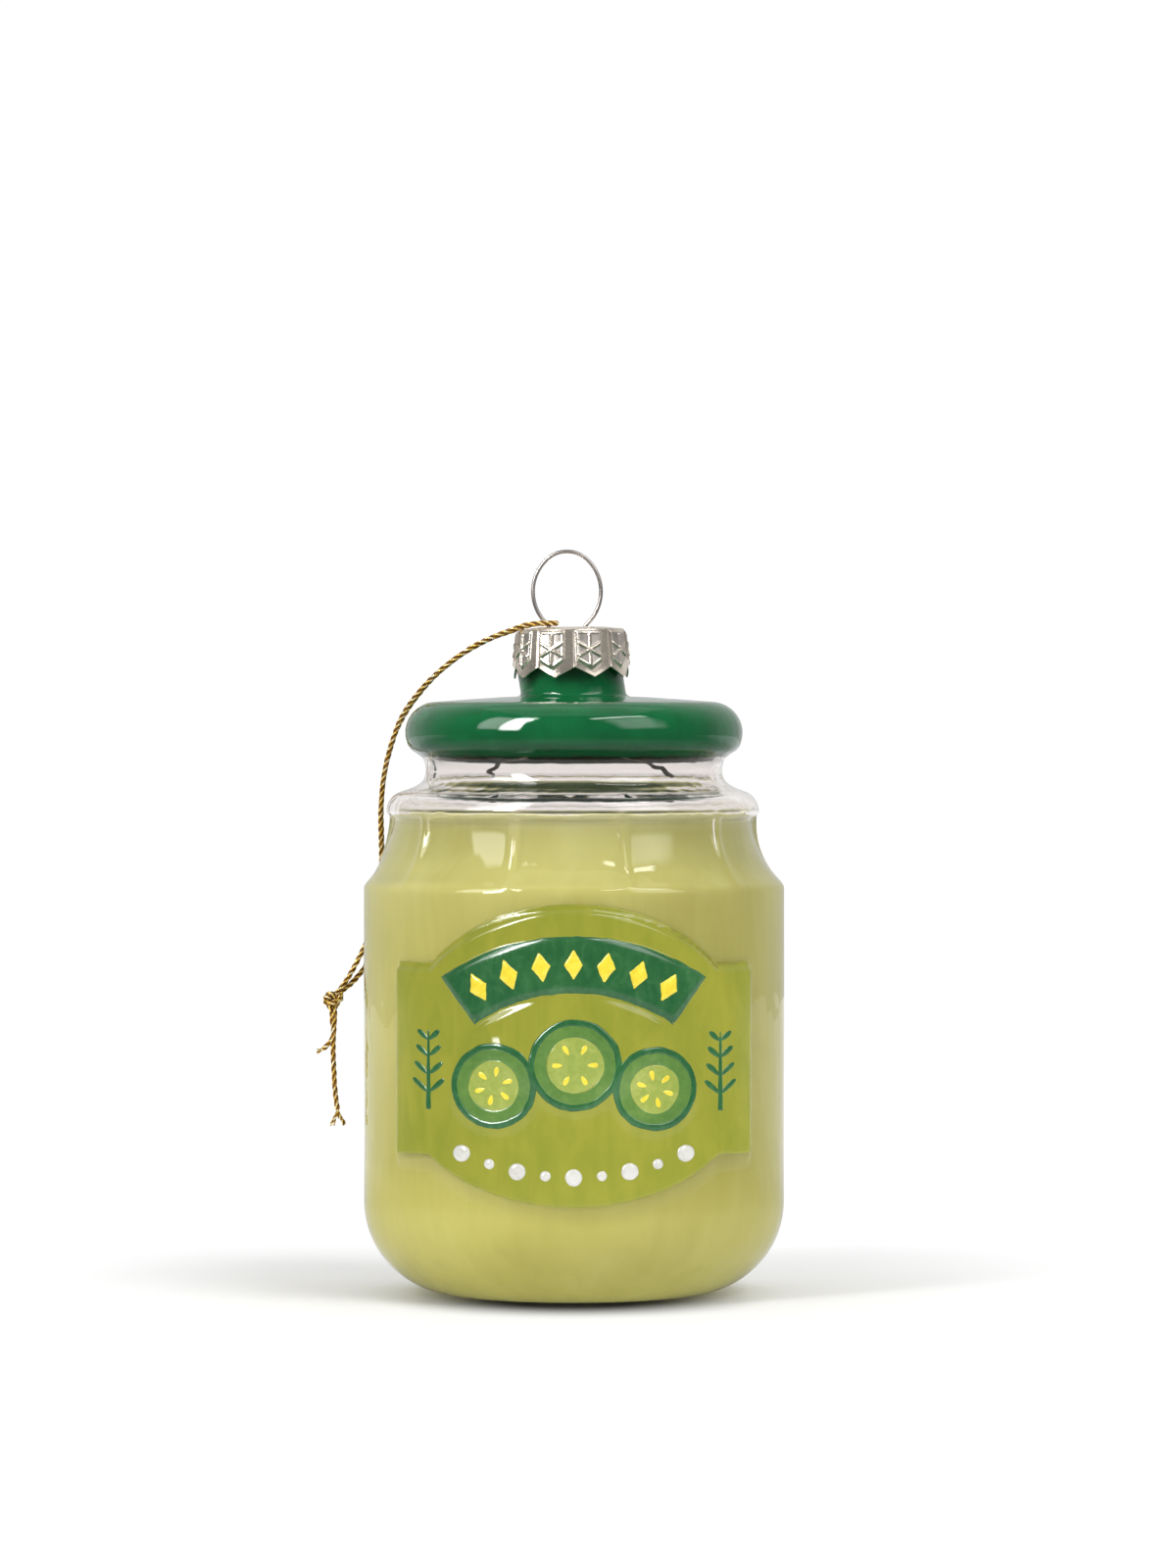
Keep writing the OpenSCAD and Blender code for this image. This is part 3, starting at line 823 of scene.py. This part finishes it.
def smooth_line(points, step):
    """A smooth profile through (r, z) points."""
    return [(q[0], q[2]) for q in spline([(r, 0.0, z) for r, z in points], step)]


# the groove between the bead and the lid, outside and inside
NECK_OUT = smooth_line([(22.55, 68.25), (21.9, 68.5), (21.1, 68.95), (20.45, 69.55), (20.15, 70.4), (20.15, 71.4),
                        (20.45, 72.35), (21.15, 73.0), (22.0, 73.55), (22.45, 74.1)], 0.35)
NECK_IN = smooth_line([(21.6, 74.3), (21.15, 73.95), (20.4, 73.5), (19.7, 72.75), (19.35, 71.6), (19.35, 70.3),
                       (19.65, 69.25), (20.3, 68.4), (21.2, 67.85), (22.3, 67.35)], 0.4)


def glass_rows():
    """Outer rows from the middle of the base to the rim, then inner rows back down."""
    outer = [("c", 4.0, 0.32), ("c", 8.0, 0.25), ("c", 11.5, 0.12), ("c", 13.6, 0.02)]
    outer += [("c", r, z) for r, z in pts(16, 12.5, 12.5, -90, 0, 18)]
    outer += [("w", 0, z) for z in np.arange(13.2, 53.4, 0.74)]
    outer += [("w", 0, z) for z in np.arange(53.6, 65.25, 0.36)]
    outer += [("c", r, z) for r, z in pts(22.2, 65.3, 2.9, 4, 64, 8)]
    outer += [("c", r, z) for r, z in NECK_OUT]
    outer += [("c", r, z) for r, z in lid_arc(18.6, 4.3, -22, 88, 24)]
    outer += [("c", 17.0, 80.30), ("c", 14.5, 80.49), ("c", 11.5, 80.68), ("c", 9.6, 80.81)]
    outer += [("c", r, z) for r, z in pts(7.75, 81.48, 0.6, 270, 180, 7)]
    outer += [("c", 7.15, 83.4), ("c", 7.08, 85.2), ("c", 6.9, 88.0), ("c", 6.85, 88.95)]
    outer += [("c", 6.72, 89.26), ("c", 6.42, 89.4), ("c", 6.12, 89.35), ("c", 5.9, 89.1)]
    inner = [("i", r, z) for r, z in LID_IN]
    inner += [("i", r, z) for r, z in lid_arc(18.5, 3.65, 84, -22, 16)]
    inner += [("i", r, z) for r, z in NECK_IN]
    inner += [("i", r, z) for r, z in pts(22.2, 65.3, 1.95, 66, 6, 6)]
    inner += [("v", 0, z) for z in np.arange(64.9, 53.0, -0.6)]
    inner += [("v", 0, z) for z in np.arange(52.5, 13.0, -2.4)]
    inner += [("i", r, z) for r, z in pts(16, 12.5, 12.5 - WALL_IN, 0, -90, 14)]
    inner += [("i", 12.0, 0.9), ("i", 7.5, 1.15), ("i", 3.5, 1.28)]
    return outer, inner


def uneven(t, z):
    """Small unevenness of blown glass."""
    return 0.10 * n3(math.sin(t) * 2.0, math.cos(t) * 2.0, z * 0.05, 1.0, 2.0)


def neck_calm(z):
    """The neck is smoother than the lid above it."""
    return 0.06 + 0.94 * float(smooth(72.0, 75.5, z))


def lid_wave(t, r, z):
    """The same for the inner wall of the lid and the neck."""
    if not (66.0 < z < 80.2 and r > 12):
        return 0.0
    return 1.8 * uneven(t, z) * neck_calm(z) * float(smooth(66, 68, z)) * (1 - float(smooth(79, 80.2, z)))


def irregular(z):
    return np.array([uneven(t, z) for t in TH])


def stub_shift(z):
    """The stub stands a little left of the jar's axis."""
    return -0.42 * float(smooth(80.6, 83.2, z))


def build_glass():
    outer, inner = glass_rows()
    V = [(0.0, 0.0, 0.35)]
    for kind, r, z in outer + inner:
        if kind == "w":
            rr = wall_r(TH, z, 0.85, 0.0)
            u = ((TH + math.pi) % TAU - math.pi) * BODY_R
            rr = rr + label_bulge(seg_dist(np.stack([u, np.full(NT, z)], axis=1), MOULD_LOOP))
        elif kind == "v":
            rr = wall_r(TH, z, 0.5, -WALL_IN - 0.15 * smooth(54, 58, z))
        else:
            rr = np.full(NT, r)
            if 65.0 < z < 69.5:
                rr = rr + left_swell(TH, z)
        if kind in ("w", "v"):
            rr = rr + irregular(z) * smooth(13.0, 20.0, z)
        elif kind == "i":
            rr = rr + np.array([lid_wave(t, r, z) for t in TH])
        elif 66.0 < z < 80.2 and r > 12:
            rr = rr + irregular(z) * neck_calm(z) * smooth(66, 68, z) * (1 - smooth(79, 80.2, z))
        for t, q in zip(TH, rr):
            V.append((q * math.sin(t) + stub_shift(z), -q * math.cos(t), z))
    rows = len(outer) + len(inner)
    V.append((0.0, 0.0, 1.32))
    F = grid_faces(rows, NT, True, 1)
    F += [(0, 1 + (j + 1) % NT, 1 + j) for j in range(NT)]
    o = 1 + (rows - 1) * NT
    F += [(o + j, o + (j + 1) % NT, len(V) - 1) for j in range(NT)]
    ob = make("jar_glass", V, F, GLASS)
    tidy(ob)
    return ob


glass = build_glass()
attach(glass, "jar")
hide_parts("glass_body")


# ---------------------------------------------------------------- lacquers inside the glass
def coat(name, rows, mats, n=140, into=0.07, thick=0.2):
    """A thin closed coat on the inner wall. rows is a function of theta giving (r, z) lists."""
    th = np.linspace(0, TAU, n, endpoint=False)
    cols_o, cols_i = [], []
    for t in th:
        p = np.array(rows(t), float)
        d = np.gradient(p, axis=0)
        d /= np.linalg.norm(d, axis=1)[:, None]
        nrm = np.stack([-d[:, 1], d[:, 0]], axis=1)
        cols_o.append(p + into * nrm)
        cols_i.append(p - (thick - into) * nrm)
    m = len(cols_o[0])
    V = []
    for side in (cols_o, cols_i):
        for i in range(m):
            for t, c in zip(th, side):
                r = max(float(c[i][0]), 0.02)
                z = float(c[i][1])
                V.append((r * math.sin(t) + stub_shift(z), -r * math.cos(t), z))
    F = grid_faces(m, n) + [tuple(reversed(f)) for f in grid_faces(m, n, True, m * n)]
    for row in (0, m - 1):
        for j in range(n):
            a, b = row * n + j, row * n + (j + 1) % n
            q = (a, b, b + m * n, a + m * n)
            F.append(q if row else tuple(reversed(q)))
    ob = make(name, V, F, mats, [0 if k < (m - 1) * n else 1 for k in range(len(F))])
    tidy(ob)
    return ob


def brine_rows(t):
    edge = 65.35 + 0.14 * n3(math.sin(t) * 3, math.cos(t) * 3, 0.0, 1.6) + 0.10 * n3(math.sin(t) * 9, math.cos(t) * 9, 5.0, 1.6)
    zs = np.concatenate([np.linspace(edge, 65.0, 4), np.arange(64.6, 53.0, -0.5), np.arange(52.5, 13.0, -2.2)])
    th = np.array([t])
    out = []
    for z in zs:
        zz = min(z, 64.9)
        r = float(wall_r(th, zz, 0.5, -WALL_IN - 0.15 * float(smooth(54, 58, zz)))[0])
        r += uneven(t, zz) * float(smooth(13.0, 20.0, zz))
        if z > 64.9:
            bead = 22.2 + math.sqrt(1.95 ** 2 - (z - 65.3) ** 2) + float(left_swell(t, z))
            r += (bead - r) * float(smooth(64.9, 65.5, z))
        out.append((r, z))
    out += pts(16, 12.5, 12.5 - WALL_IN, 0, -90, 14)
    out += [(12.0, 0.9), (7.5, 1.15), (3.5, 1.28), (0.05, 1.32)]
    return out


def lid_rows(t):
    rag = 0.30 * n3(math.sin(t) * 6, math.cos(t) * 6, 2.0, 1.5) + 0.22 * n3(math.sin(t) * 18, math.cos(t) * 18, 7.0, 1.5)
    u = 1.4 + 0.9 * rag
    out = [(5.85, 88.5)] + LID_IN[1:] + lid_arc(18.5, 3.65, 84, -22, 16)
    out += [(21.6, 74.3), (21.15, 73.95)]
    out += [(float(np.interp(k * u / 3, (0, 1, 2), (21.15, 20.4, 19.7))),
             float(np.interp(k * u / 3, (0, 1, 2), (73.95, 73.5, 72.75)))) for k in (1, 2, 3)]
    return [(r + lid_wave(t, r, z), z) for r, z in out]


brine = coat("brine_coat", brine_rows, [OLIVE, OLIVE_IN], n=160)
lidc = coat("lid_coat", lid_rows, [GREEN, GREEN_IN], n=240)
for o, node, slot in ((brine, "brine_lacquer", "olive_lacquer"), (lidc, "lid_lacquer", "green_lacquer")):
    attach(o, "jar")
    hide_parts(node)

# ---------------------------------------------------------------- label
def on_wall(loop, r):
    """A flat outline in X and Z carried onto the wall: arc length and height."""
    p = np.asarray(loop, float)
    return np.stack([BODY_R * np.arcsin(np.clip(p[:, 0] / r, -1, 1)), p[:, 1]], axis=1)


BAN_C, BAN_R0, BAN_R1, BAN_A = 19.4, 22.4, 30.0, 35.66
SLICES = ((-10.4, 29.6, 5.6), (0.2, 32.4, 6.0), (10.6, 29.2, 5.5))


def relief_height(P):
    """Moulded height of the label front over the plain wall."""
    u, z = P[:, 0], P[:, 1]
    h = label_bulge(seg_dist(P, MOULD_LOOP))
    x = 29.2 * np.sin(u / BODY_R)
    rho = np.hypot(x, z - BAN_C)
    ang = np.abs(np.degrees(np.arctan2(x, z - BAN_C)))
    d = np.minimum(np.minimum(rho - BAN_R0, BAN_R1 - rho), np.radians(BAN_A - ang) * rho)
    h = h + 0.42 * smooth(-0.15, 0.8, d)
    s = BAN_R0 - rho
    h = h + 0.36 * smooth(0.0, 1.2, s) * (1 - smooth(5.0, 15.0, s)) * (1 - smooth(30.0, 44.0, ang))
    for sx, sz, sr in SLICES:
        h = h + 0.26 * smooth(-1.3, 0.6, sr - np.hypot(x - sx, z - sz))
    return h


def resample(loop, step):
    out = []
    n = len(loop)
    for i in range(n):
        a, b = np.array(loop[i]), np.array(loop[(i + 1) % n])
        L = float(np.linalg.norm(b - a))
        if L < 1e-6:
            continue
        k = max(1, int(math.ceil(L / step - 1e-6)))
        out += [a + (b - a) * j / k for j in range(k)]
    return np.array(out)


def brushed(loop, amp, seed):
    """The loop with the small waver of a brush edge."""
    if amp <= 0:
        return loop
    t = np.roll(loop, -1, axis=0) - np.roll(loop, 1, axis=0)
    t /= np.linalg.norm(t, axis=1)[:, None] + 1e-9
    nrm = np.stack([t[:, 1], -t[:, 0]], axis=1)
    w = [n3(p[0], p[1], seed, 0.55) + 0.5 * n3(p[0], p[1], seed + 9.0, 1.6) for p in loop]
    return loop + nrm * (amp * np.array(w))[:, None]


def layer(name, shapes, mat, lift, thick, soft, step, under=0.3, waver=0.0, seed=0.0):
    """A closed layer of paint over the moulded front. shapes: (outer loop, hole loops)."""
    V, F = [], []
    for k, (outer, holes) in enumerate(shapes):
        loops = [brushed(resample(l, step), waver, seed + 3.0 * k + i) for i, l in enumerate([outer] + list(holes))]

        def inside(Q):
            d = seg_dist(Q, loops[0])
            for l in loops[1:]:
                d = np.minimum(d, -seg_dist(Q, l))
            return d

        P, E = [], []
        for l in loops:
            o = len(P)
            P += [tuple(q) for q in l]
            E += [(o + i, o + (i + 1) % len(l)) for i in range(len(l))]
        for w in (0.35, 0.8):
            ring = []
            for l in loops:
                t = np.roll(l, -1, axis=0) - np.roll(l, 1, axis=0)
                t /= np.linalg.norm(t, axis=1)[:, None] + 1e-9
                for sgn in (1, -1):
                    ring.append(l + sgn * w * soft * np.stack([-t[:, 1], t[:, 0]], axis=1))
            Q = np.concatenate(ring)
            d = inside(Q)
            P += [tuple(q) for q in Q[(d > 0.92 * w * soft) & (d < 1.08 * w * soft)]]
        lo, hi = loops[0].min(axis=0), loops[0].max(axis=0)
        G = []
        for r_i, z in enumerate(np.arange(lo[1], hi[1], step * 0.87)):
            for u in np.arange(lo[0] + (r_i % 2) * 0.5 * step, hi[0], step):
                G.append((u, z))
        if G:
            G = np.array(G)
            d = inside(G)
            P += [tuple(q) for q in G[d > max(1.1 * soft, 0.5 * step)]]
        rv, re, rf, ov, oe, of = delaunay_2d_cdt([Vector(q) for q in P], E, [], 0, 1e-5)
        Q = np.array([tuple(v) for v in rv])
        T = np.array([tuple(f) for f in rf])
        keep = inside(Q[T].mean(axis=1)) > 0
        T = T[keep]
        used = np.unique(T)
        remap = {int(v): i for i, v in enumerate(used)}
        Q = Q[used]
        d = np.clip(inside(Q), 0, None)
        base = BODY_R + relief_height(Q) + lift
        q = 1.0 - np.clip(d / soft, 0, 1)
        top = base + thick * np.sqrt(np.clip(1 - q * q, 0, 1))
        o = len(V)
        m = len(Q)
        for r in (top, base - under):
            a = Q[:, 0] / BODY_R
            V += list(zip(r * np.sin(a), -r * np.cos(a), Q[:, 1]))
        count = {}
        for tri in T:
            f = [remap[int(v)] for v in tri]
            F.append(tuple(o + v for v in f))
            F.append(tuple(o + m + v for v in reversed(f)))
            for i in range(3):
                e = (f[i], f[(i + 1) % 3])
                count[e] = count.get(e, 0) + 1
        for (a0, b0) in count:
            if (b0, a0) not in count:
                F.append((o + b0, o + a0, o + m + a0, o + m + b0))
    ob = make(name, V, F, mat)
    tidy(ob)
    return ob


def circle(cx, cz, r, n=48):
    return [(cx + r * math.cos(TAU * i / n), cz + r * math.sin(TAU * i / n)) for i in range(n)]


def wall_shape(outer, holes=(), r=29.2):
    return on_wall(outer, r), [on_wall(h, r) for h in holes]


panel = layer("label_paint", [(LABEL_LOOP, [])], LABEL, 0.0, 0.07, 0.25, 0.3, under=0.45, waver=0.10, seed=1.0)

ban = [tuple(q) for q in arc_pts(0, BAN_C, BAN_R1, 90 - BAN_A, 90 + BAN_A, 60)]
ban += [tuple(q) for q in arc_pts(0, BAN_C, BAN_R0, 90 + BAN_A, 90 - BAN_A, 48)]
banner = layer("banner_paint", [wall_shape(ban)], DARK, 0.05, 0.07, 0.22, 0.42, waver=0.14, seed=4.0)

dia = []
for a in (-28, -18.7, -9.3, 0, 9.3, 18.7, 28):
    ca, sa = math.cos(math.radians(a)), math.sin(math.radians(a))
    loop = []
    for x, z in ((-1.25, 0), (0, -2.1), (1.25, 0), (0, 2.1)):
        z += 26.2
        loop.append((x * ca - z * sa, BAN_C + x * sa + z * ca))
    dia.append(wall_shape(loop))
diamonds = layer("banner_diamond_dabs", dia, YELLOW, 0.10, 0.16, 0.5, 0.2, under=0.25, waver=0.12, seed=6.0)

discs, hearts, rims, seeds = [], [], [], []
for sx, sz, sr in SLICES:
    discs.append(wall_shape(circle(sx, sz, sr - 0.65), [circle(sx, sz, sr - 2.35)]))
    lobed = []
    for i in range(72):
        t = TAU * i / 72
        rr = (sr - 2.28) * (1.0 + 0.035 * math.cos(3 * t + sx))
        lobed.append((sx + rr * math.cos(t), sz + rr * math.sin(t)))
    hearts.append(wall_shape(lobed))
    rims.append(wall_shape(circle(sx, sz, sr + 0.05, 72), [circle(sx, sz, sr - 0.85, 64)]))
    for i in range(6):
        a = math.radians(i * 60 + sx * 4)
        ca, sa = math.cos(a), math.sin(a)
        loop = []
        for j in range(16):
            t = TAU * j / 16
            x = (sr - 3.7) + 0.72 * math.cos(t)
            z = 0.34 * math.sin(t) * (1.0 + 0.35 * math.cos(t))
            loop.append((sx + x * ca - z * sa, sz + x * sa + z * ca))
        seeds.append(wall_shape(loop))
slice_discs = layer("slice_flesh", discs, MID, 0.05, 0.07, 0.2, 0.4, waver=0.06, seed=11.0)
slice_hearts = layer("slice_middles", hearts, PALE, 0.06, 0.07, 0.25, 0.4, waver=0.12, seed=13.0)
slice_rims = layer("slice_skins", rims, DARK, 0.07, 0.10, 0.35, 0.3, waver=0.12, seed=15.0)
slice_seeds = layer("slice_seed_dabs", seeds, YELLOW, 0.10, 0.12, 0.25, 0.14, under=0.2, waver=0.03, seed=17.0)


def leaf(x0, z0, ang, ln, wd):
    out = []
    ca, sa = math.cos(ang), math.sin(ang)
    for i in range(20):
        t = TAU * i / 20
        p, q = 0.5 * ln * (1 - math.cos(t)), wd * math.sin(t) * (1.0 - 0.25 * math.cos(t))
        out.append((x0 + p * ca - q * sa, z0 + p * sa + q * ca))
    return out


sprigs = []
for bx, bz in ((-19.2, 26.2), (19.4, 26.0)):
    stem = [(bx - 0.34, bz), (bx + 0.34, bz), (bx + 0.26, bz + 6), (bx + 0.12, bz + 10.5), (bx - 0.12, bz + 10.5), (bx - 0.26, bz + 6)]
    sprigs.append(wall_shape(stem))
    for z in (2.2, 4.6, 7.0, 9.2):
        for s in (-1, 1):
            sprigs.append(wall_shape(leaf(bx, bz + z, math.radians(90 - s * 48), 3.1 - z * 0.12, 0.36)))
sprig_ob = layer("dill_sprig_strokes", sprigs, DARK, 0.05, 0.09, 0.25, 0.2, waver=0.07, seed=21.0)

beads = []
for i in range(-4, 5):
    beads.append(wall_shape(circle(3.7 * i, 17.6 + 0.187 * i * i, (2.3 if i % 2 == 0 else 1.4) / 2, 24)))
bead_ob = layer("foot_bead_dabs", beads, WHITE, 0.05, 0.26, 0.7, 0.18, waver=0.08, seed=25.0)

for o, node, slot in ((panel, "label_panel", "label_enamel"), (banner, "label_banner", "dark_green_enamel"),
                      (diamonds, "banner_diamonds", "yellow_enamel"), (slice_discs, "slice_discs", "mid_green_enamel"),
                      (slice_hearts, "slice_hearts", "pale_green_enamel"), (slice_rims, "slice_rims", "dark_green_enamel"),
                      (slice_seeds, "slice_seeds", "yellow_enamel"), (sprig_ob, "dill_sprigs", "dark_green_enamel"),
                      (bead_ob, "foot_beads", "white_enamel")):
    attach(o, "jar")
    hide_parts(node)

# ---------------------------------------------------------------- crown cap
LOOP_X = -0.95
CAP_TOP, CAP_TIP, CAP_R1, CAP_R0 = 90.3, 83.4, 7.35, 7.95


def seg(P, a, b):
    a, b = np.array(a, float), np.array(b, float)
    d = b - a
    t = np.clip(((P - a) @ d) / (d @ d), 0, 1)
    return np.linalg.norm(P - a - t[:, None] * d, axis=1)


def build_cap():
    n, rows = 540, 74
    th = np.linspace(0, 360, n, endpoint=False)
    q = (th + 36.0) % 40.0
    low = CAP_TIP + 1.45 * np.abs(q - 20.0) / 20.0 + 0.05 * np.array([n3(math.sin(math.radians(a)) * 4, math.cos(math.radians(a)) * 4, 1.0) for a in th])
    top_z = CAP_TOP - 0.55
    shield = [(-1.85, 89.75), (1.85, 89.75), (1.85, 85.75), (0.15, 84.55), (-1.85, 85.75)]
    V = []
    shaded_ground = []
    for i in range(rows):
        t = i / (rows - 1.0)
        z = low + (top_z - low) * t
        r = CAP_R0 + (CAP_R1 - CAP_R0) * (z - CAP_TIP) / (top_z - CAP_TIP)
        s = np.radians(q - 15.6) * r
        P = np.stack([s, z], axis=1)
        d = seg_dist(P, shield)
        e = 0.24 * smooth(-0.12, 0.34, d)
        star = np.full(n, 9.0)
        c = np.array((0.0, 87.2))
        for k in range(6):
            a = math.radians(30 + 60 * k)
            u = np.array((math.cos(a), math.sin(a)))
            ln = 2.0 if k in (1, 4) else 1.66
            star = np.minimum(star, seg(P, c, c + ln * u))
        e = e + 0.19 * (1 - smooth(0.06, 0.22, star)) * smooth(0.1, 0.35, d)
        e = e - 0.07 * smooth(0.3, 0.5, d) * smooth(0.14, 0.3, star)
        # painted shade: the sunken ground inside the shields, away from the star arms, gets the darker silver
        shaded_ground.append((d > 0.36) & (star > 0.15))
        flare = 0.02 * (1 - smooth(0.0, 0.10, t))
        groove = -0.10 * np.exp(-(((q + 4.8) % 40.0 - 4.8) / 1.3) ** 2)
        r = r + e + flare + groove - 0.12
        for a, rr, zz in zip(th, r, z):
            V.append((rr * math.sin(math.radians(a)), -rr * math.cos(math.radians(a)), zz))
    for k in range(1, 7):
        a = math.radians(90 * k / 6)
        rr, zz = CAP_R1 - 0.12 - 0.3 * (1 - math.cos(a)), top_z + 0.28 * math.sin(a)
        for t in th:
            V.append((rr * math.sin(math.radians(t)), -rr * math.cos(math.radians(t)), zz))
    total = rows + 6
    F = grid_faces(total, n)
    ring = (total - 1) * n
    rim_r = CAP_R1 - 0.42
    P = [Vector((rim_r * math.sin(math.radians(t)), -rim_r * math.cos(math.radians(t)))) for t in th]
    E = [(i, (i + 1) % n) for i in range(n)]
    slots = []
    for sgn in (-1, 1):
        cx = LOOP_X + 0.44 + sgn * 2.5
        o = len(P)
        loop = []
        for j in range(28):
            a = TAU * j / 28
            loop.append((cx + 0.75 * max(-1, min(1, 1.25 * math.cos(a))), 0.5 * max(-1, min(1, 1.25 * math.sin(a)))))
        slots.append(np.array(loop))
        P += [Vector(p) for p in loop]
        E += [(o + j, o + (j + 1) % 28) for j in range(28)]
    for rr in (0.6, 1.4, 2.2, 3.0, 3.8, 4.6, 5.4, 6.1):
        for j in range(int(rr * 10) + 6):
            a = TAU * j / (int(rr * 10) + 6)
            p = np.array([[rr * math.cos(a), rr * math.sin(a)]])
            if all(abs(seg_dist(p, l)[0]) > 0.25 and seg_dist(p, l)[0] < 0 for l in slots):
                P.append(Vector(tuple(p[0])))
    rv, re, rf, ov, oe, of = delaunay_2d_cdt(P, E, [], 0, 1e-6)
    Q = np.array([tuple(v) for v in rv])
    T = np.array([tuple(f) for f in rf])
    cen = Q[T].mean(axis=1)
    keep = np.ones(len(T), bool)
    for l in slots:
        keep &= seg_dist(cen, l) < 0
    idx = {}
    for i in range(len(Q)):
        if i < n and np.linalg.norm(Q[i] - np.array(P[i])) < 1e-6:
            idx[i] = ring + i
        else:
            idx[i] = len(V)
            d = math.hypot(*Q[i])
            V.append((Q[i][0], Q[i][1], CAP_TOP - 0.27 * float(smooth(4.0, rim_r, d)) + 0.03 * n3(Q[i][0], Q[i][1], 0.0, 0.5)))
    for f in T[keep]:
        F.append(tuple(idx[int(v)] for v in f))
    kind = [int(shaded_ground[k // n][k % n]) if k < (rows - 1) * n else 0 for k in range(len(F))]
    ob = make("crown_cap_sheet", V, F, [SILVER, SILVER_SHADED], kind)
    tidy(ob)
    so = ob.modifiers.new("sheet", "SOLIDIFY")
    so.thickness = 0.22 * MM
    so.offset = -1.0
    so.use_even_offset = False
    dg = bpy.context.evaluated_depsgraph_get()
    me = bpy.data.meshes.new_from_object(ob.evaluated_get(dg))
    ob.modifiers.clear()
    ob.data = me
    lean = math.radians(-0.9)
    for v in me.vertices:
        x, z = v.co.x, v.co.z - 0.0875
        v.co.x = x * math.cos(lean) + z * math.sin(lean) - 0.00040
        v.co.z = 0.0875 - x * math.sin(lean) + z * math.cos(lean)
    me.polygons.foreach_set("use_smooth", [True] * len(me.polygons))
    return ob


cap = build_cap()
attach(cap, "cap")
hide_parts("crown_cap")

# ---------------------------------------------------------------- hanger wire
WIRE_D = 0.54


def wire(name, p, d, mat, sides=12):
    V, F = [], []
    t, fr = frames(p)
    d = np.broadcast_to(d, len(p))
    for i in range(len(p)):
        n, b = fr[i]
        for j in range(sides):
            g = TAU * j / sides
            V.append(p[i] + 0.5 * d[i] * (math.cos(g) * n + math.sin(g) * b))
    F += [tuple(reversed(f)) for f in grid_faces(len(p), sides)]
    V += [p[0] - 0.12 * d[0] * t[0], p[-1] + 0.12 * d[-1] * t[-1]]
    F += [(j, (j + 1) % sides, len(V) - 2) for j in range(sides)]
    e = (len(p) - 1) * sides
    F += [(e + (j + 1) % sides, e + j, len(V) - 1) for j in range(sides)]
    return V, F


hw, hh, tr, lz = 4.61, 5.45, 4.0, 95.1
tz = hh - tr
sr = (hw * hw + tz * tz - tr * tr) / (2 * (hw - tr))
sx0 = sr - hw
ja = math.degrees(math.atan2(tz, sx0))
fx, fz = sr * math.cos(math.radians(50)) - sx0, lz - sr * math.sin(math.radians(50))
lp = [(fx, 89.8), (fx, fz - 0.1)]
lp += pts(-sx0, lz, sr, 4 - 50, ja, 13)
lp += pts(0, lz + tz, tr, ja + 7, 173 - ja, 10)
lp += pts(sx0, lz, sr, 180 - ja, 176 + 50, 13)
lp += [(-fx, fz - 0.1), (-fx, 89.8)]
loop3 = [(LOOP_X + x, 0.03 * math.sin(z), z) for x, z in lp]
V, F = wire("loop", spline(loop3, 0.3), WIRE_D, WIRE)
loop_ob = make("hanger_loop_wire", V, F, WIRE)
tidy(loop_ob)
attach(loop_ob, "hanger")
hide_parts("hanger_loop")

CRIMP = {-1: [(-9.9, 0, 73.0), (-10.5, 0.1, 71.7), (-11.7, 0, 70.8), (-11.0, -0.1, 69.7), (-11.4, 0, 69.1)],
         1: [(9.9, 0, 72.8), (10.9, 0.1, 71.8), (12.0, 0, 71.4), (12.6, -0.1, 70.2), (13.4, 0, 69.2)]}
for s, side in ((-1, "left"), (1, "right")):
    q = [(LOOP_X + s * fx, 0, 89.9), (LOOP_X + s * fx, 0, 88.5), (LOOP_X + s * fx + s * 0.03, 0, 86.8),
         (s * 3.9 + LOOP_X * 0.3, 0, 81.5), (s * 4.45, 0, 78.6), (s * 5.5, 0, 76.6), (s * 7.6, 0, 74.6)] + CRIMP[s]
    q = spline(q, 0.25)
    V, F = wire("leg", q, WIRE_D + 0.2 * smooth(75.0, 72.0, q[:, 2]), SHADED_LEG_WIRE)
    leg = make("hanger_leg_wire_" + side, V, F, SHADED_LEG_WIRE)
    tidy(leg)
    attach(leg, "hanger")
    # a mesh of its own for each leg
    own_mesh(leg)
    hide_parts("hanger_legs")
